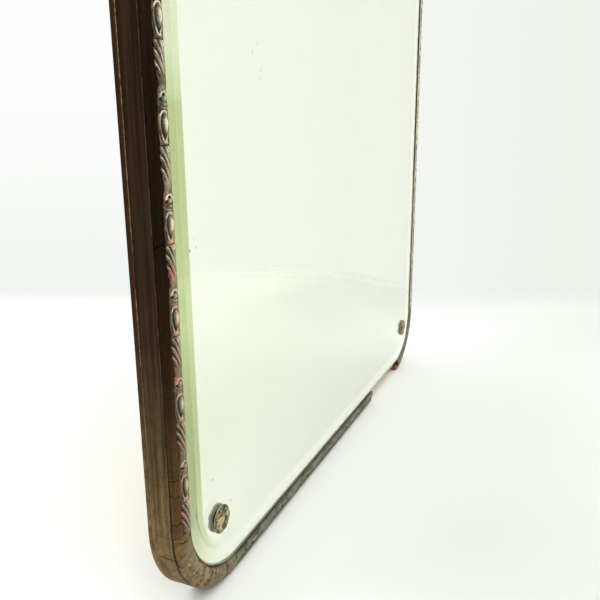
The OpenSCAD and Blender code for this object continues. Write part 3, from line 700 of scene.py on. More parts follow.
def grown(name, tree, values):
    # runs a tree on an empty mesh and returns its result as a plain piece
    seed = linkObject(name + "Seed", bpy.data.meshes.new(name + "Seed"))
    modifier = seed.modifiers.new("grow", "NODES")
    modifier.node_group = tree
    for item in tree.interface.items_tree:
        if item.item_type == "SOCKET" and item.in_out == "INPUT" and item.name in values:
            modifier[item.identifier] = values[item.name]
    mesh = plainMesh(seed)
    mesh.name = name
    removeObjects(seed)
    return linkObject(name, mesh)


def makeSweepTree():
    # a section swept along a path: uneven by a little, with cracks across it
    net = geometryNet("mouldingSweep", {
        "Path": "Object", "Section": "Object", "Unevenness": 0.0002, "Uneven Scale": 45.0, "Crack Depth": 0.0008,
        "Crack Wander": 0.003, "Ragged": 0.006, "Seed": 0.0})
    given = net.given

    def stored(label, kind="FLOAT"):
        return net.add("GeometryNodeInputNamedAttribute", 0, {"data_type": kind}, Name=label)

    shapes = [net.add("GeometryNodeObjectInfo", "Geometry", Object=given[label]) for label in ("Path", "Section")]
    path, profile = (net.add("GeometryNodeMeshToCurve", Mesh=shape) for shape in shapes)
    path = net.add("GeometryNodeSetCurveNormal", 0, {"mode": "FREE"}, Curve=path, Normal=(0, -1, 0))
    path = net.add("GeometryNodeStoreNamedAttribute", 0, {"data_type": "FLOAT_VECTOR"}, Geometry=path, Name="along",
                   Value=net.add("GeometryNodeInputTangent"))
    swept = net.add("GeometryNodeCurveToMesh", Curve=path, i1=profile, Scale=stored("shrink"), Fill_Caps=True)
    at = net.vector("ADD", net.add("GeometryNodeInputPosition"), i1=given["Seed"])
    low = (net.noise(given["Uneven Scale"], 3.0, 0.5, at) - 1.0) * given["Unevenness"]
    depth = (low - stored("dent") * given["Crack Depth"]) * stored("shown")
    push = net.vector("SCALE", net.add("GeometryNodeInputNormal"), Scale=depth)
    waver = (net.noise(160.0, 2.0, 0.5, at) - 0.5) * given["Crack Wander"] * stored("near")
    torn = (net.noise(420.0, 4.0, 0.65, at) - 0.5) * given["Ragged"]
    drift = net.vector("SCALE", stored("along", "FLOAT_VECTOR"), Scale=torn.scaled(stored("free"), waver))
    moved = net.add("GeometryNodeSetPosition", Geometry=swept, Offset=net.vector("ADD", push, i1=drift))
    return paintedTree(net, moved)


def makeOrnamentTree():
    # whole castings set out along a run, between a first and a last part of one
    net = geometryNet("ornamentRun", {
        "Casting": "Object", "First Part": "Object", "Last Part": "Object", "Count": 11, "Step": 0.0752,
        "First Joint": 0.0304, "Slip": 0.00012, "Swell": 0.03, "Seed": 3})
    given = net.given

    def joinedParts(**parts):
        return net.add("ShaderNodeCombineXYZ", **parts)

    def random(low, high):
        return net.add("FunctionNodeRandomValue", 1, {"data_type": "FLOAT"}, i2=low, i3=high, Seed=given["Seed"])

    line = net.add("GeometryNodeMeshLine", Count=given["Count"], Offset=joinedParts(Z=given["Step"]),
                   Start_Location=joinedParts(Z=given["First Joint"]))
    slip = joinedParts(X=random(-given["Slip"], given["Slip"]))
    size = joinedParts(X=1.0, Y=random(1.0 - given["Swell"], 1.0), Z=1.0)
    casting, first, last = (net.add("GeometryNodeObjectInfo", "Geometry", Object=given[label])
                            for label in ("Casting", "First Part", "Last Part"))
    placed = net.add("GeometryNodeInstanceOnPoints", Instance=casting, Scale=size,
                     Points=net.add("GeometryNodeSetPosition", Geometry=line, Offset=slip))
    joined = net.add("GeometryNodeJoinGeometry")
    for source in (placed, first, last):
        net.put(source, joined.socket.node.inputs[0])
    return paintedTree(net, joined)


sweepTree = makeSweepTree()
ornamentTree = makeOrnamentTree()
print("geometry trees made")

mouldingShape = {
    "ringStep": 0.0045, "crackHalf": 0.0004, "unevenness": 0.00035, "unevenScale": 42.0,
    "crackDepth": 0.0011, "sideCrack": 0.7, "crackWander": 0.012, "seed": 0.37, "endRagged": 0.004,
    "stubShort": 0.003, "sharp": 42,
    # distances of the extra rings on both sides of a crack, and how far from it the even rings stay away
    "nearRings": (0.007, 0.0045, 0.0027, 0.0015, 0.0008, 0.0004, 0.00015), "clear": 0.0085, "reach": 0.0088,
    # a torn end starts this share of endRagged back from the tip; its rings: share back, looseness and size
    "tornFrom": 1.6,
    "tornRings": ((1.4, 0.15, 1.0), (1.0, 0.5, 1.0), (0.6, 0.9, 0.995), (0.45, 1.0, 0.96), (0.42, 1.0, 0.8),
                  (0.44, 1.0, 0.6), (0.4, 1.0, 0.4), (0.43, 1.0, 0.2), (0.42, 1.0, 0.03)),
}
# cracks: distance along each straight from its middle, or degrees round each corner; a faint one has its depth too
cracks = {
    "side": {
        "left": [(-0.402, 0.35), (-0.31, 0.2), (-0.054, 0.25), (-0.078, 0.18), (0.071, 0.4), 0.224, 0.331, 0.402],
        "top": [-0.21, 0.04, 0.2], "right": [-0.3, -0.12, 0.07, 0.33], "bottom": [-0.05, 0.12, 0.25],
        "top_left": [35, 71], "top_right": [28, 66], "bottom_right": [12, 50], "bottom_left": [22, 47, 76]},
    "bead": {
        "left": [-0.438, (-0.4115, 0.5), (-0.3975, 0.8), (-0.319, 0.4), (-0.1956, 0.7), 0.1048, 0.255, 0.3304],
        "top": [-0.26, -0.12, 0.09, 0.22], "right": [-0.36, -0.2, -0.03, 0.14, 0.31],
        "bottom": [-0.12, 0.02, 0.13, 0.26], "top_left": [18, 52, 80], "top_right": [30, 61],
        "bottom_right": [22, 58, 80], "bottom_left": [30.0, 13.5, (47, 0.5), (66, 0.5), (86, 0.8)]},
}
straights = {"left": 0, "top": 90, "right": 180, "bottom": 270}
corners = {"top_left": 0, "top_right": 90, "bottom_right": 180, "bottom_left": 270}


def turned(x, z, turn):
    # from the left side's own place to the side that lies at this turn
    a = math.radians(turn)
    return (x * math.cos(a) + z * math.sin(a), -x * math.sin(a) + z * math.cos(a))


def straightSpan(name):
    reach, half = (sideRun, sightHalf) if name in ("left", "right") else (endRun, sightHigh)
    return -breakX if name == "bottom" else -reach, reach, half


def ringPlaces(start, end, marks):
    # places of the rings along a path, with how deep and how near a crack is at each
    shape = mouldingShape
    start, end = round(start, 6), round(end, 6)
    count = max(2, round((end - start) / shape["ringStep"]))
    even = [start + (end - start) * i / count for i in range(count + 1)]
    places = [p for p in even if all(abs(p - m) > shape["clear"] for m, depth in marks)]
    for m, depth in marks:
        places += [m] + [m + o for o in shape["nearRings"]] + [m - o for o in shape["nearRings"]]
    places = sorted({round(min(max(p, start), end), 6) for p in places} | {start, end})
    dent = [max([depth * math.exp(-((p - m) / shape["crackHalf"]) ** 2) for m, depth in marks] + [0.0])
            for p in places]
    near = [max([max(0.0, 1 - abs(p - m) / shape["reach"]) ** 0.7 for m, depth in marks] + [0.0]) for p in places]
    return places, dent, near


def pathLine(name, out, forward, marks, torn=None):
    # rings round one straight or corner, the given way out from the sight line, whole or with its start or end torn
    if name in straights:
        start, end, half = straightSpan(name)
        places, dent, near = ringPlaces(start, end, [m for m in marks if start + 0.01 < m[0] < end - 0.01])
        points = [turned(-half - out, r, straights[name]) for r in places]
    else:
        radius = sightRadius + out
        end = radius * math.pi / 2 - (mouldingShape["stubShort"] if torn else 0.0)
        places, dent, near = ringPlaces(0.0, end, [(math.radians(m) * radius, depth) for m, depth in marks])
        cx, cz = -sightHalf + sightRadius, sightHigh - sightRadius
        if corners[name] in (90, 270):
            cx, cz = -cz, -cx
        angles = [min(r / radius, math.pi / 2) for r in places]
        points = [turned(cx - radius * math.cos(a), cz + radius * math.sin(a), corners[name]) for a in angles]
    rows = [(point, dip, close, 0.0, 1.0) for point, dip, close in zip(points, dent, near)]
    if torn:
        order = -1 if torn == "start" else 1
        rows = rows[::order]
        tip, before = Vector(rows[-1][0]), Vector(rows[-2][0])
        way = (tip - before).normalized()
        cut = mouldingShape["endRagged"]
        rows = [row for row in rows if (tip - Vector(row[0])).dot(way) > cut * mouldingShape["tornFrom"]]
        for back, loose, size in mouldingShape["tornRings"]:
            rows.append((tip - way * cut * back, 0.0, 0.0, loose, size))
        rows = rows[::order]
    points, *values = zip(*rows)
    world = [(x, boardFront - forward, halfHeight + z) for x, z in points]
    return lineObject("path_" + name, world, False, dict(zip(("dent", "near", "free", "shrink"), values)))


def arcPoints(cs, cv, radius, a0, a1, count):
    angles = [math.radians(a0 + (a1 - a0) * i / count) for i in range(count + 1)]
    return [(cs + radius * math.cos(a), cv + radius * math.sin(a)) for a in angles]


def densified(points, step):
    dense = []
    for a, b in zip(points, points[1:] + points[:1]):
        parts = max(1, round(math.dist(a, b) / step))
        dense += [(a[0] + (b[0] - a[0]) * k / parts, a[1] + (b[1] - a[1]) * k / parts) for k in range(parts)]
    return dense


def makeSection(name, points, centre, shown, worn, crown=lambda s, v: 0.0):
    # outward and forward distances, turned into the sweep's own directions
    flat = [(v - centre[1], centre[0] - s, 0.0) for s, v in points]
    values = {label: [float(rule(s, v)) for s, v in points]
              for label, rule in (("shown", shown), ("crown", crown), ("worn", worn))}
    return lineObject("section_" + name, flat, True, values), centre


sectionSizes = {
    "sideThick": 0.0124, "sideEase": 0.0011, "bed": 0.0056, "thumb": 0.0076, "lip": 0.0066, "crownRadius": 0.011,
    "crownRise": 0.008, "crownOut": 0.0082, "crownSteps": 30, "quirkHigh": 0.0010, "quirkDeep": 0.0009,
    "beadCentre": (0.0103, 0.0028), "sideStep": 0.0016, "beadStep": 0.0014,
}


def makeSections():
    w, z = beadWidth, sectionSizes
    inner, ease, shoulder = w - z["sideThick"], z["sideEase"], w - z["thumb"]
    eased = arcPoints(w - ease, -ease, ease, 0, 90, 4)
    side = densified([(inner, -sideDepth), (w, -sideDepth)] + eased + [(inner, 0.0)], z["sideStep"])
    foot = w - z["quirkDeep"]
    quirk = [(0.0, 0.0), (foot, 0.0), (foot, z["quirkHigh"] * 0.85), (w - z["quirkDeep"] * 0.55, z["quirkHigh"])]
    thumb = arcPoints(shoulder, z["lip"] - z["thumb"], z["thumb"], 12, 88, 12)
    bed = [(shoulder - 0.0004, z["bed"] + 0.0002), (shoulder - 0.0009, z["bed"]), (0.0, z["bed"])]
    bead = densified(quirk + thumb + bed, z["beadStep"])

    def roundTop(top, radius, off):
        return top - radius + radius * math.sqrt(max(0.0, 1 - (off / radius) ** 2))

    crown = []
    for s in (w * (1 - i / z["crownSteps"]) for i in range(1, z["crownSteps"] + 1)):
        low = roundTop(z["lip"], z["thumb"], max(0.0, s - shoulder))
        crown.append((s, max(0.0012, low, roundTop(z["crownRise"], z["crownRadius"], s - z["crownOut"]))))
    corner = densified(quirk + [(w, 0.0016)] + crown, z["beadStep"])
    return {
        "side": makeSection("side", side, (inner + z["sideThick"] / 2, -sideDepth / 2),
                            lambda s, v: s > w - 0.0012,
                            lambda s, v: (1.0 if s > w - 0.0009 and v > -0.0009 else
                                          0.25 if s > w - 0.0012 and v > -0.0012 else 0.0)),
        "bead": makeSection("bead", bead, z["beadCentre"], lambda s, v: v > 0.0007 and s > 0.001,
                            lambda s, v: 0.55 * (s > w - 0.0004 and v > 0.0009)),
        "corner": makeSection("corner", corner, z["beadCentre"], lambda s, v: v > 0.0007,
                              lambda s, v: 0.8 * (s > w - 0.0008 and v > 0.0009),
                              lambda s, v: min(1.0, max(0.0, (w - s) / 0.013)) * (v > 0.004)),
    }


sections = makeSections()


def moulding(kind, name, finish, torn=None):
    atCorner = name in corners
    section, centre = sections["corner" if kind == "bead" and atCorner else kind]
    marks = [m if isinstance(m, tuple) else (m, 1.0) for m in cracks[kind][name]]
    line = pathLine(name, *centre, marks, torn)
    shape = mouldingShape
    piece = grown(kind + "_" + name + "_piece", sweepTree, {
        "Path": line, "Section": section, "Unevenness": shape["unevenness"], "Uneven Scale": shape["unevenScale"],
        "Crack Depth": shape["crackDepth"] * (shape["sideCrack"] if kind == "side" else 1.0),
        "Crack Wander": shape["crackWander"],
        "Ragged": shape["endRagged"] * 2.0, "Seed": shape["seed"], "Material": finish.material})
    closeShell(piece, shape["sharp"])
    removeObjects(line)
    keepPiece(piece, kind + ("_corner_" if atCorner else "_") + name)


for name in straights:
    upright = name in ("left", "right")
    torn = "start" if name == "bottom" else None
    moulding("side", name, sideFinish if upright else sideEndFinish, torn)
    moulding("bead", name, beadFinish if upright else beadEndFinish, torn)
for name in corners:
    torn = "end" if name == "bottom_right" else None
    moulding("side", name, sideFinish, torn)
    moulding("bead", name, cornerFinish, torn)
removeObjects(*(section for section, centre in sections.values()))
print("mouldings made")


# curves that the castings and the rosettes are made of

def ramp(x, start, end):
    return np.clip((x - start) / (end - start), 0, 1)


def bell(off, width):
    return np.exp(-(off / width) ** 2)


def arch(off, half, power=2.0):
    return np.sqrt(np.clip(1 - (np.abs(off) / half) ** power, 0, 1))


def dome(t, s, t0, s0, a, b, high, power=2.0):
    q = np.abs((t - t0) / a) ** power + np.abs((s - s0) / b) ** power
    return high * np.sqrt(np.clip(1 - q, 0, 1))


def rim(t, s, t0, s0, a, b, width, high, power=2.0):
    q = (np.abs((t - t0) / a) ** power + np.abs((s - s0) / b) ** power) ** (1 / power)
    return high * arch(np.abs(q - 1) * (b + (a - b) * np.clip(np.abs(t - t0) / a, 0, 1) ** 3), width)


def softNoise(rows, columns, size, seed):
    # smooth random field made by enlarging a coarse one
    coarse = np.random.default_rng(seed).uniform(-1, 1, (int(rows / size) + 3, int(columns / size) + 3))
    y = np.linspace(0, coarse.shape[0] - 1.001, rows)
    x = np.linspace(0, coarse.shape[1] - 1.001, columns)
    iy, ix = y.astype(int), x.astype(int)
    fy, fx = (y - iy)[:, None], (x - ix)[None, :]
    fy, fx = fy * fy * (3 - 2 * fy), fx * fx * (3 - 2 * fx)
    above, below = (coarse[i][:, ix] * (1 - fx) + coarse[i][:, ix + 1] * fx for i in (iy, iy + 1))
    return above * (1 - fy) + below * fy


castingLook = {
    # millimetres; the edge is how far out the casting reaches, along its repeat
    "repeat": 75.2, "wide": 11.8, "gap": 0.25, "floor": 0.55, "lip": 1.7, "high": 3.9, "rough": 0.10,
    "alongStep": 0.376, "acrossCount": 31, "sink": 0.35, "fillet": 0.02, "sharp": 70,
    "edge": ((0, 2, 10, 18, 24, 28, 33, 36, 39, 43, 45.6, 48, 51, 56, 61, 66, 71, 75.2),
             (10.6, 11.2, 11.5, 10.9, 9.6, 8.7, 8.4, 9.4, 10.3,
              10.6, 11.5, 10.6, 10.4, 11.6, 11.8, 11.6, 10.2, 10.2)),
}


def outerEdge(t):
    # the edge with the leaf's lobes cut into it
    lobes = bell((t - 4.4 + 4.15) % 8.3 - 4.15, 1.3)
    return np.interp(t, *castingLook["edge"]) - 1.2 * lobes * ramp(t, 26, 23) * ramp(t, 0, 2)


def castingHeight(t, s, edge):
    # height above the bed, with masks of hollows, of red clay where the leaf is worn, and of bright edges, which
    # are painted highlights
    look, floor = castingLook, castingLook["floor"]
    # the leaf, cut by slanting grooves
    inner = 10.5 - s
    halfLeaf = np.interp(t, [0, 4, 11, 18, 24, 28], [5.2, 5.6, 5.7, 5.3, 4.4, 3.9])
    centreLeaf = np.interp(t, [0, 12, 24, 28], [5.6, 5.9, 5.0, 4.5])
    leafHigh = np.interp(t, [0, 1, 8, 24, 28, 30], [2.1, 2.6, 3.05, 2.8, 2.5, 0])
    body = arch(s - centreLeaf, halfLeaf + 0.2, 2.4) * leafHigh
    slant = t - (1.55 * inner + 0.07 * inner * np.abs(inner)) - 6.0
    phase = (slant + 4.1) % 8.2 - 4.1
    spread = 0.92 + 0.20 * np.clip(s - 3, 0, 8)
    cut = bell(phase, spread)
    fade = ramp(s, 2.6, 4.6) * ramp(t, 28, 24) * ramp(t, 0.4, 1.8)
    vein = bell(np.abs(phase) - 4.1, 0.5) * 0.22
    leaf = body - (2.1 * cut + vein) * fade * ramp(body, 0, 2.0)
    # painted highlight along each groove, on the side that faces the light
    ridgeHighlight = bell(phase - 1.35 * spread, 0.55) * fade * ramp(body, 0, 1.6)
    cap = dome(t, s, 2.4, 3.6, 3.0, 2.9, 2.6, 2.4)
    # the neck, the curled end and the cabochon in its oval
    neck = arch(s - 4.4, 4.25, 2.2) * np.interp(t, [25, 28, 32, 35.2, 36.0, 36.3], [0, 2.5, 2.55, 2.3, 1.4, 0])
    seam = 0.35 * bell(s - 6.3 + 0.05 * t, 0.45) * ramp(t, 27, 30) * ramp(t, 35, 33)
    curl = rim(t, s, 41.0, 5.6, 4.6, 4.0, 0.85, 3.0) * ramp(t, 42.0, 39.8)
    lower = t > 59.5
    ovalHalf = np.where(lower, 13.2, 9.6)
    oval = rim(t, s, 59.5, 5.9, ovalHalf, 5.2, 0.60, 2.2, np.where(lower, 1.55, 2.1))
    stone = dome(t, s, 59.5, 4.6, np.where(lower, 9.6, 7.4), 3.2, 3.9, np.where(lower, 1.6, 2.0))
    height = np.full_like(t, floor)
    for form in (leaf, cap, neck - seam, 3.0 * arch(t - 35.9, 0.9) * arch(s - 4.6, 4.4),
                 curl, dome(t, s, 41.3, 4.7, 2.6, 2.6, 3.5), dome(t, s, 45.3, 4.7, 2.3, 3.2, 2.9),
                 rim(t, s, 45.6, 9.0, 2.1, 1.9, 0.85, 2.3), 3.0 * arch(t - 48.0, 0.85) * arch(s - 5.2, 4.4),
                 dome(t, s, 50.6, 5.0, 2.3, 4.2, 2.6, 2.3), oval, stone,
                 dome(t, s, 73.2, 4.6, 2.6, 3.6, 2.7, 2.3), 1.35 * ramp(t, 67, 71) * arch(s - 5.4, 5.0, 3),
                 look["lip"] * arch(s - 0.7, 0.75)):
        # the larger of the two, with a small fillet
        height = 0.5 * (height + form + np.sqrt((height - form) ** 2 + look["fillet"]))
    # hollows, painted near-black as dirt and painted shade: the leaf's grooves, the low ground, the floor of the
    # oval and the curl's eye
    grooves = cut * fade * ramp(body, 0, 1.6)
    pit = ramp(height, 1.45, 0.7) * ramp(edge - s, 0, 0.9)
    inOval = np.abs((t - 59.5) / (ovalHalf - 0.7)) ** 1.8 + np.abs((s - 5.9) / 4.6) ** 1.8
    pit = np.maximum(pit, 0.8 * np.clip((1 - inOval) * 6, 0, 1) * ramp(height, 2.1, 1.2))
    eye = np.clip(1.3 - (((t - 41.6) / 2.6) ** 2 + ((s - 8.0) / 1.3) ** 2), 0, 1)
    height = height - 1.1 * eye
    hollow = np.clip(np.maximum.reduce([grooves, pit, eye]), 0, 1)
    # painted highlights: the oval's rim, brightest at its tips, the curl, the leaf's ridges, the cap and a shine on
    # the stone
    tips = 0.45 + 0.55 * ramp(np.abs(t - 60.5), 5.5, 8.5)
    shine = 0.9 * bell(t - 55.0, 4.5) * bell(s - 3.6, 1.3)
    bright = np.maximum.reduce([tips * oval / 2.2, curl / 3.0, 1.5 * ridgeHighlight, 0.9 * cap / 2.6, shine])
    clay = np.maximum.reduce([
        dome(t, s, 41.3, 4.7, 2.4, 2.5, 1), dome(t, s, 50.6, 6.0, 2.0, 3.4, 1), dome(t, s, 72.8, 5.6, 2.2, 3.6, 1),
        0.45 * oval / 2.2 * (s < 6), dome(t, s, 17, 7.5, 9, 3.0, 0.45)])
    # down to the edge and to the joints
    height = floor * 0.4 + (height - floor * 0.4) * np.sqrt(ramp(edge - s, 0, 0.8))
    fromJoint = np.minimum(t - look["gap"], look["repeat"] - look["gap"] - t)
    height = height * (0.55 + 0.45 * np.sqrt(ramp(fromJoint, 0, 0.5)))
    return height, hollow, clay, np.clip(bright, 0, 1) ** 1.5


def castingMesh(name, low, high, seed):
    # a closed casting between two heights of its own repeat, measured up from its lower joint
    look, columns = castingLook, castingLook["acrossCount"]
    rows = max(3, round((high - low) / look["alongStep"]))
    up = np.repeat(np.linspace(low, high, rows)[:, None], columns, 1)
    t = look["repeat"] - up
    edge = np.minimum(outerEdge(t) + 0.12 * softNoise(rows, 1, 6, seed + 5), look["wide"])
    s = np.linspace(0, 1, columns) * edge
    height, hollow, clay, bright = castingHeight(t, s, edge)
    rough = softNoise(rows, columns, 7, seed) + 0.6 * softNoise(rows, columns, 3, seed + 1)
    height = np.clip(height + look["rough"] * rough * ramp(height, 0, 1.5), 0.12, look["high"] - 0.02)
    # crests: rubbed bright silver and the painted highlights, none in the hollows
    crest = np.maximum(0.75 * ramp(height, 2.0, 3.6), bright) * (1 - hollow)
    # flanks that face the glass, in the inner half: the finish paints light and shade on them
    rise = np.gradient(height, axis=1) / np.maximum(np.gradient(s, axis=1), 0.05)
    inner = ramp(rise, 0.3, 0.9) * ramp(s, 6.0, 5.0)
    # the top, then the points of its border again at the depth that it sinks to
    topCount = rows * columns
    index = np.arange(topCount).reshape(rows, columns)
    border = np.concatenate([index[0], index[1:, -1], index[-1, -2::-1], index[-2:0:-1, 0]]).tolist()
    used = [*range(topCount), *border]
    points = np.stack([-s, -height, up], 2).reshape(-1, 3)[used]
    points[topCount:, 1] = look["sink"]
    faces = [(a, a + 1, a + columns + 1, a + columns) for a in index[:-1, :-1].reshape(-1).tolist()]
    under = range(topCount, len(used))
    faces += [(a, c, d, b) for a, b, c, d in zip(border, under, border[1:] + border[:1], [*under[1:], under[0]])]
    piece = meshObject(name, points * mm, faces + [tuple(under)])
    fields = {"hollow": hollow, "clay": clay, "crest": crest, "inner": inner}
    setPointValues(piece.data, {key: field.reshape(-1)[used] for key, field in fields.items()})
    closeShell(piece, look["sharp"])
    return piece


ornamentRun = {"step": 0.0752, "firstJoint": 0.0304, "slip": 0.00010, "swell": 0.05, "inset": 0.0002}


def makeOrnaments():
    gap, repeat = castingLook["gap"], castingLook["repeat"]
    step, joint = ornamentRun["step"], ornamentRun["firstJoint"]
    whole = castingMesh("casting", gap, repeat - gap, 11)
    first = castingMesh("castingTop", repeat - joint / mm, repeat - gap, 12)
    first.data.transform(Matrix.Translation((0, 0, joint - repeat * mm)))
    for number, name in enumerate(straights):
        start, half = straightSpan(name)[::2]
        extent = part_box("ornament_" + name)[1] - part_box("ornament_" + name)[0]
        length = extent.z if name in ("left", "right") else extent.x
        count = int((length - joint) / step)
        rest = length - joint - count * step
        last = castingMesh("castingEnd", gap, rest / mm, 13 + number)
        last.data.transform(Matrix.Translation((0, 0, length - rest)))
        piece = grown("ornament_" + name + "_piece", ornamentTree, {
            "Casting": whole, "First Part": first, "Last Part": last, "Count": count, "Step": step,
            "First Joint": joint, "Slip": ornamentRun["slip"], "Swell": ornamentRun["swell"], "Seed": 3 + number,
            "Material": ornamentFinish.material})
        place = Matrix.Translation((-half - ornamentRun["inset"], boardFront - sectionSizes["bed"], start))
        turn = Matrix.Rotation(math.radians(straights[name]), 4, "Y")
        piece.data.transform(Matrix.Translation((0, 0, halfHeight)) @ turn @ place)
        removeObjects(last)
        keepPiece(piece, "ornament_" + name)
    removeObjects(whole, first)


makeOrnaments()
print("ornaments made")

rosetteLook = {
    "high": 0.0031, "gap": 0.0003, "petals": 7, "petalHalf": 0.0037, "swirl": 0.95, "lean": 0.12, "ball": 0.0019,
    "ballOut": 0.74, "boss": 0.0026, "floor": 0.0008, "rings": 56, "around": 168, "hole": (0.0036, -0.0012, 0.0030),
    # rings of the underside: share of the radius, and how far above the gap
    "back": ((1.0, 0.0), (0.93, 0.0), (0.5, 0.0004), (0.12, 0.0004)), "backMiddle": 0.0004, "sharp": 60,
}


def rosetteMesh(name, turn):
    # a pierced brass flower: swirled leaves in a rolled rim round a boss
    look, n, floor = rosetteLook, rosetteLook["around"], rosetteLook["floor"]
    unit = np.linspace(0.0, 1.0, look["rings"])[1:, None] * np.ones(n)
    r = unit * rosetteRadius
    a = np.linspace(0, 2 * math.pi, n, endpoint=False) * np.ones_like(r)
    x, z = r * np.cos(a), r * np.sin(a)
    height = np.full_like(r, floor)
    step = 2 * math.pi / look["petals"]
    rng = np.random.default_rng(21)
    for k in range(look["petals"]):
        middle = k * step + turn + rng.uniform(-look["lean"], look["lean"]) + look["swirl"] * (unit - 0.5)
        side = ((a - middle + math.pi) % (2 * math.pi) - math.pi) * r / look["petalHalf"]
        leaf = np.clip(1 - np.abs(side) ** 2.2, 0, 1) * ramp(unit, 0.2, 0.3) * ramp(unit, 0.93, 0.81)
        shape = np.sqrt(leaf) * (0.0016 + 0.0007 * np.sin(unit * 3.1 + k * 2.1))
        shape -= 0.0005 * bell(side, 0.13) * (leaf > 0.05)
        shape -= 0.0006 * bell((unit * 9 + np.abs(side) * 1.6) % 1.0 - 0.5, 0.14) * (leaf > 0.1)
        ballTurn, ballWay = k * step + turn + step * 0.5 + 0.28, rosetteRadius * look["ballOut"]
        ball = dome(x, z, ballWay * math.cos(ballTurn), ballWay * math.sin(ballTurn), *[look["ball"]] * 3)
        height = np.maximum.reduce([height, floor + shape, floor + ball])
    height = np.maximum(height, 0.0006 + (0.0014 + 0.0004 * np.cos(a * 7 + 1.0)) * arch(unit - 0.93, 0.075))
    height = height + 0.00035 * np.cos(a * 23) * ramp(np.abs(unit - 0.9), 0.1, 0.0)
    boss = dome(x, z, -0.0012, 0.0008, look["boss"], look["boss"], look["high"] - floor)
    height = np.maximum(height, floor + boss * (0.93 + 0.07 * np.cos(a * 5 + 1)))
    hx, hz, hr = look["hole"]
    hole = np.clip(1.3 - np.sqrt((x - hx) ** 2 + (z - hz) ** 2) / hr, 0, 1)
    height = np.clip(height - 0.0025 * hole, look["gap"] + 0.0002, look["high"] - 0.00002)
    height = 0.0009 + (height - 0.0009) * np.sqrt(ramp(unit, 1.0, 0.97))
    hollow = np.clip(ramp(height, floor + 0.0010, floor + 0.0002) * (unit < 0.93) + hole, 0, 1)
    crest = ramp(height, 0.0019, 0.0028)
    # rings of the front and the back, with a point in the middle of both
    share, lift = np.array(look["back"]).T[:, :, None]
    rings = np.stack([np.vstack([x, x[-1] * share]), -np.vstack([height, look["gap"] + lift * np.ones(n)]),
                      np.vstack([z, z[-1] * share])], 2)
    points = [(0.0, -height[0].mean(), 0.0), *rings.reshape(-1, 3), (0.0, -look["gap"] - look["backMiddle"], 0.0)]
    bare, backPoints = np.zeros(height.size), len(share) * n
    values = {key: [first, *field.reshape(-1), *[back] * (backPoints + 1)]
              for key, first, field, back in (("hollow", 0.0, hollow, 0.0), ("crest", crest[0].mean(), crest, 0.0),
                                              ("under", 0.0, bare, 1.0))}
    last = len(points) - 1
    faces = [(0, 1 + (j + 1) % n, 1 + j) for j in range(n)] + bandFaces(1, len(rings), n)
    faces += [(last - n + j, last - n + (j + 1) % n, last) for j in range(n)]
    piece = meshObject(name, points, faces)
    setPointValues(piece.data, values)
    closeShell(piece, look["sharp"])
    piece.data.materials.append(rosetteFinish.material)
    return piece


for number, (place, (x, z)) in enumerate(rosettePlaces.items()):
    piece = rosetteMesh("rosette_" + place + "_piece", 0.4 + 1.7 * number)
    piece.data.transform(Matrix.Translation((x, glassFront, z)))
    keepPiece(piece, "rosette_" + place)
print("rosettes made")


def outline(inset, y):
    # the plate's outline as one ring of points, the same number at every inset
    steps = glassShape["cornerSteps"]
    r = max(glassShape["radius"] - inset, 0.0005)
    points = []
    for cx, cz, start in ((1, 1, 0), (-1, 1, 90), (-1, -1, 180), (1, -1, 270)):
        x, z = cx * (glassHalf - inset - r), halfHeight + cz * (halfHeight - glassLow - inset - r)
        angles = [math.radians(start + 90 * i / steps) for i in range(steps + 1)]
        points += [(x + r * math.cos(a), y, z + r * math.sin(a)) for a in angles]
    return points


def drill(piece, x, z):
    hole = bmesh.new()
    place = Matrix.Translation((x, glassBack, z)) @ Matrix.Rotation(math.pi / 2, 4, "X")
    radius, sides, depth = (glassShape[key] for key in ("hole", "holeSides", "drillLong"))
    bmesh.ops.create_cone(hole, cap_ends=True, segments=sides, radius1=radius, radius2=radius, depth=depth,
                          matrix=place)
    cutter = linkObject("drill", bpy.data.meshes.new("drill"))
    hole.to_mesh(cutter.data)
    hole.free()
    cut = piece.modifiers.new("drill", "BOOLEAN")
    cut.object, cut.operation, cut.solver = cutter, "DIFFERENCE", "EXACT"
    mesh = plainMesh(piece)
    piece.modifiers.clear()
    piece.data = mesh
    removeObjects(cutter)


def plate(name, finish, *rings):
    # a closed plate through rings of points, with a hole for each mirror screw
    n, count = len(rings[0]), len(rings)
    ends = [tuple(range(n)), tuple(range((count - 1) * n, count * n))]
    piece = meshObject(name, [p for ring in rings for p in ring], bandFaces(0, count, n) + ends, smooth=False)
    closeShell(piece)
    piece.data.materials.append(finish.material)
    for x, z in rosettePlaces.values():
        drill(piece, x, z)
    return piece


def makeGlass():
    bevel, arris, edgeFront = glassShape["bevel"], glassShape["arris"], glassFront + glassShape["drop"]
    silverFront, silverBack = (corner.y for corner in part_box("silvering"))
    glass = plate("glass_piece", glassFinish, outline(bevel, glassFront), outline(arris, edgeFront),
                  outline(0.0, edgeFront + arris), outline(0.0, glassBack - arris), outline(arris, glassBack))
    inset = glassShape["silverInset"]
    silver = plate("silver_piece", silverFinish, outline(inset, silverFront + glassShape["silverFront"]),
                   outline(inset, silverBack - glassShape["silverBack"]))
    keepPiece(glass, "mirror_glass")
    keepPiece(silver, "silvering")


makeGlass()
print("glass made")

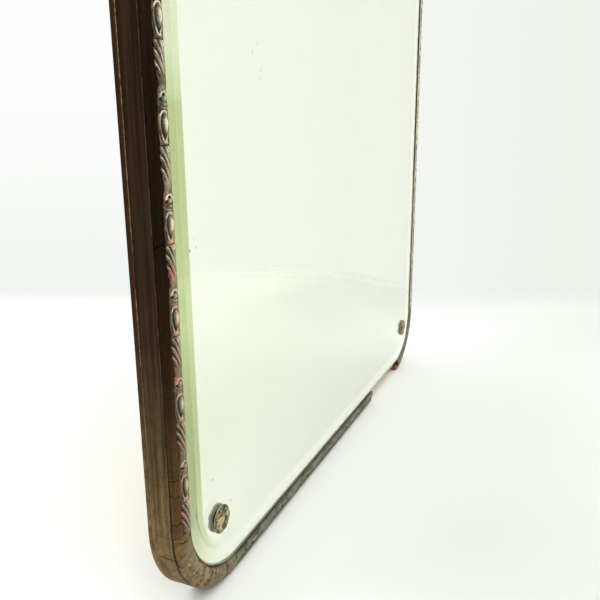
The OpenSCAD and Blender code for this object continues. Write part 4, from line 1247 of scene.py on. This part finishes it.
# finishes of the CAD pieces that stay as they are, by the first start of a name that fits
cadFinishes = {
    "board_screws": steelFinish, "rear_screws": steelFinish, "hanger_screws": steelFinish,
    "left_hanger": hangerFinish, "right_hanger": hangerFinish, "board_": boardFinish,
    "rear_": rearFinish,
    "left_stile": memberFinish, "right_stile": memberFinish, "top_rail": railFinish, "bottom_rail": railFinish,
    "upper_batten": railFinish, "lower_batten": railFinish, "felt_sheet": feltFinish, "setting_pads": rubberFinish,
    "rosette_washers": fibreFinish, "glass_sleeves": fibreFinish, "mirror_screws": brassFinish,
}
for name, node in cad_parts.items():
    finish = next((finish for start, finish in cadFinishes.items() if name.startswith(start)), None)
    if finish:
        node.data.materials.clear()
        node.data.materials.append(finish.material)
print("CAD pieces finished")

studio = {
    # light by the direction's depth: in front of the mirror, a brighter part beside it, the side and behind
    "sweep": [(-0.35, (0.955, 0.98, 0.94)), (-0.25, (1.01, 1.03, 0.98)), (0.0, (0.86, 0.885, 0.83)),
              (0.6, (0.98, 0.99, 0.98))],
    "haze": (0.885, 0.91, 0.885), "room": (0.20, 0.20, 0.19), "floor": (0.965, 0.985, 0.965),
    # painted light and shade on the floor: darker than the floor colour away from the mirror's foot, to the front
    # left and to the right, a little lighter again far in front
    "floorAway": (0.86, 0.885, 0.85), "floorFar": (0.77, 0.795, 0.765), "floorNear": (0.78, 0.805, 0.765),
    "floorFront": (0.885, 0.915, 0.88), "fade": 0.20, "floorLeft": [(-4.0, -3.0), (-4.0, 2.148)],
    "floorEdge": [(0.091, 2.148), (0.491, 1.148), (0.595, 0.889), (0.932, 0.05), (1.102, -0.374), (1.16, -0.72),
                  (1.10, -0.95), (1.05, -3.0)],
    # name, place, the point that it faces, size and power
    "lights": [("overhead", (-0.3, -1.2, 2.8), (0.1, 0, 0.0), 2.6, 29.0),
               ("frontRight", (1.4, -2.2, 2.2), (0.5, -0.3, 0.0), 1.6, 3.5),
               ("leftBox", (-1.7, -1.3, 1.7), (-0.4, 0, 0.35), 0.7, 7.0),
               ("leftFloor", (-1.2, 1.5, 2.2), (-0.6, 0.3, 0.0), 1.5, 24.0)],
}


def makeWorld():
    world = bpy.data.worlds.new("studio")
    bpy.context.scene.world = world
    world.use_nodes = True
    net = Net(world.node_tree)
    x = net.add("ShaderNodeSeparateXYZ", "X", Vector=net.add("ShaderNodeTexCoord", "Generated"))
    y, z = x.beside("Y"), x.beside("Z")
    start, colour = studio["sweep"][0]
    for end, after in studio["sweep"][1:]:
        colour = net.mix(net.mask(y, start, end), colour, after)
        start = end
    colour = net.mix(net.mask(y, 0.1, 0.5) * (1.0 - net.mask(z, -0.26, 0.06)), colour, studio["haze"])
    colour = net.mix(net.mask(-x, -0.1, 0.55) * (1.0 - net.mask(z, 0.35, 0.8)), colour, studio["room"])
    net.put(colour, next(n for n in net.tree.nodes if n.type == "BACKGROUND").inputs["Color"])


def makeFloor():
    edge = studio["floorEdge"]
    points = [(x, y, 0.0) for x, y in studio["floorLeft"] + edge][::-1]
    floor = meshObject("floor", points, [tuple(range(len(points)))], smooth=False)
    f = Finish("paleFloor", Roughness=0.6, Specular_IOR_Level=0.2)
    inFront = -f.y
    # painted light: brightest at the mirror's foot, where it stands for the light that the mirror throws back;
    # painted shade away from it, to the front left and to the right
    f.colour = f.mix(f.mask(inFront, 0.02, 0.30), studio["floor"], studio["floorAway"])
    f.coat((1.0 - f.mask(f.x, -0.25, 0.05)) * f.mask(inFront, 0.10, 0.35), studio["floorNear"])
    f.coat(f.mask(f.x, 0.40, 0.85) * (1.0 - f.mask(inFront, 0.4, 0.7)), studio["floorFar"])
    f.coat(f.mask(inFront, 0.36, 0.60), studio["floorFront"])
    f.done()
    # the floor fades out towards its edge
    beyond = []
    for (x0, y0), (x1, y1) in zip(edge, edge[1:]):
        length = math.dist((x0, y0), (x1, y1))
        beyond.append((f.x - x0) * ((y0 - y1) / length) + (f.y - y0) * ((x1 - x0) / length))
    within = -greatest(*beyond) / f.mask(inFront, 0.3, 1.0).scaled(1.8, 1.0)
    f.put(f.mask(within, 0.0, studio["fade"]), f.shader["Alpha"])
    floor.data.materials.append(f.material)


makeWorld()
makeFloor()
for name, place, aim, size, power in studio["lights"]:
    light = bpy.data.lights.new(name, "AREA")
    light.shape, light.size, light.energy = "DISK", size, power
    lamp = linkObject(name, light)
    lamp.location = place
    lamp.rotation_euler = (Vector(aim) - Vector(place)).to_track_quat("-Z", "Y").to_euler()

photoCamera = {
    "place": (-0.8216, -0.3286, 0.4467), "pitch": 15.027, "heading": 23.531, "roll": -0.407, "lens": 40.087,
}


def makeCamera():
    c = photoCamera
    pitch, heading, roll = (math.radians(c[k]) for k in ("pitch", "heading", "roll"))
    flat = math.cos(pitch)
    ahead = Vector((math.cos(heading) * flat, math.sin(heading) * flat, -math.sin(pitch)))
    right = Vector((math.sin(heading), -math.cos(heading), 0.0))
    up = right.cross(ahead)
    rolledRight = right * math.cos(roll) + up * math.sin(roll)
    rolledUp = up * math.cos(roll) - right * math.sin(roll)
    data = bpy.data.cameras.new("photoCamera")
    data.sensor_width, data.lens, data.clip_start = 36.0, c["lens"], 0.01
    camera = linkObject("photoCamera", data)
    camera.matrix_world = Matrix((*zip(rolledRight, rolledUp, -ahead, c["place"]), (0, 0, 0, 1)))
    bpy.context.scene.camera = camera


makeCamera()
view = bpy.context.scene.view_settings
view.view_transform = "Standard"
view.look = "None"
print("studio made")
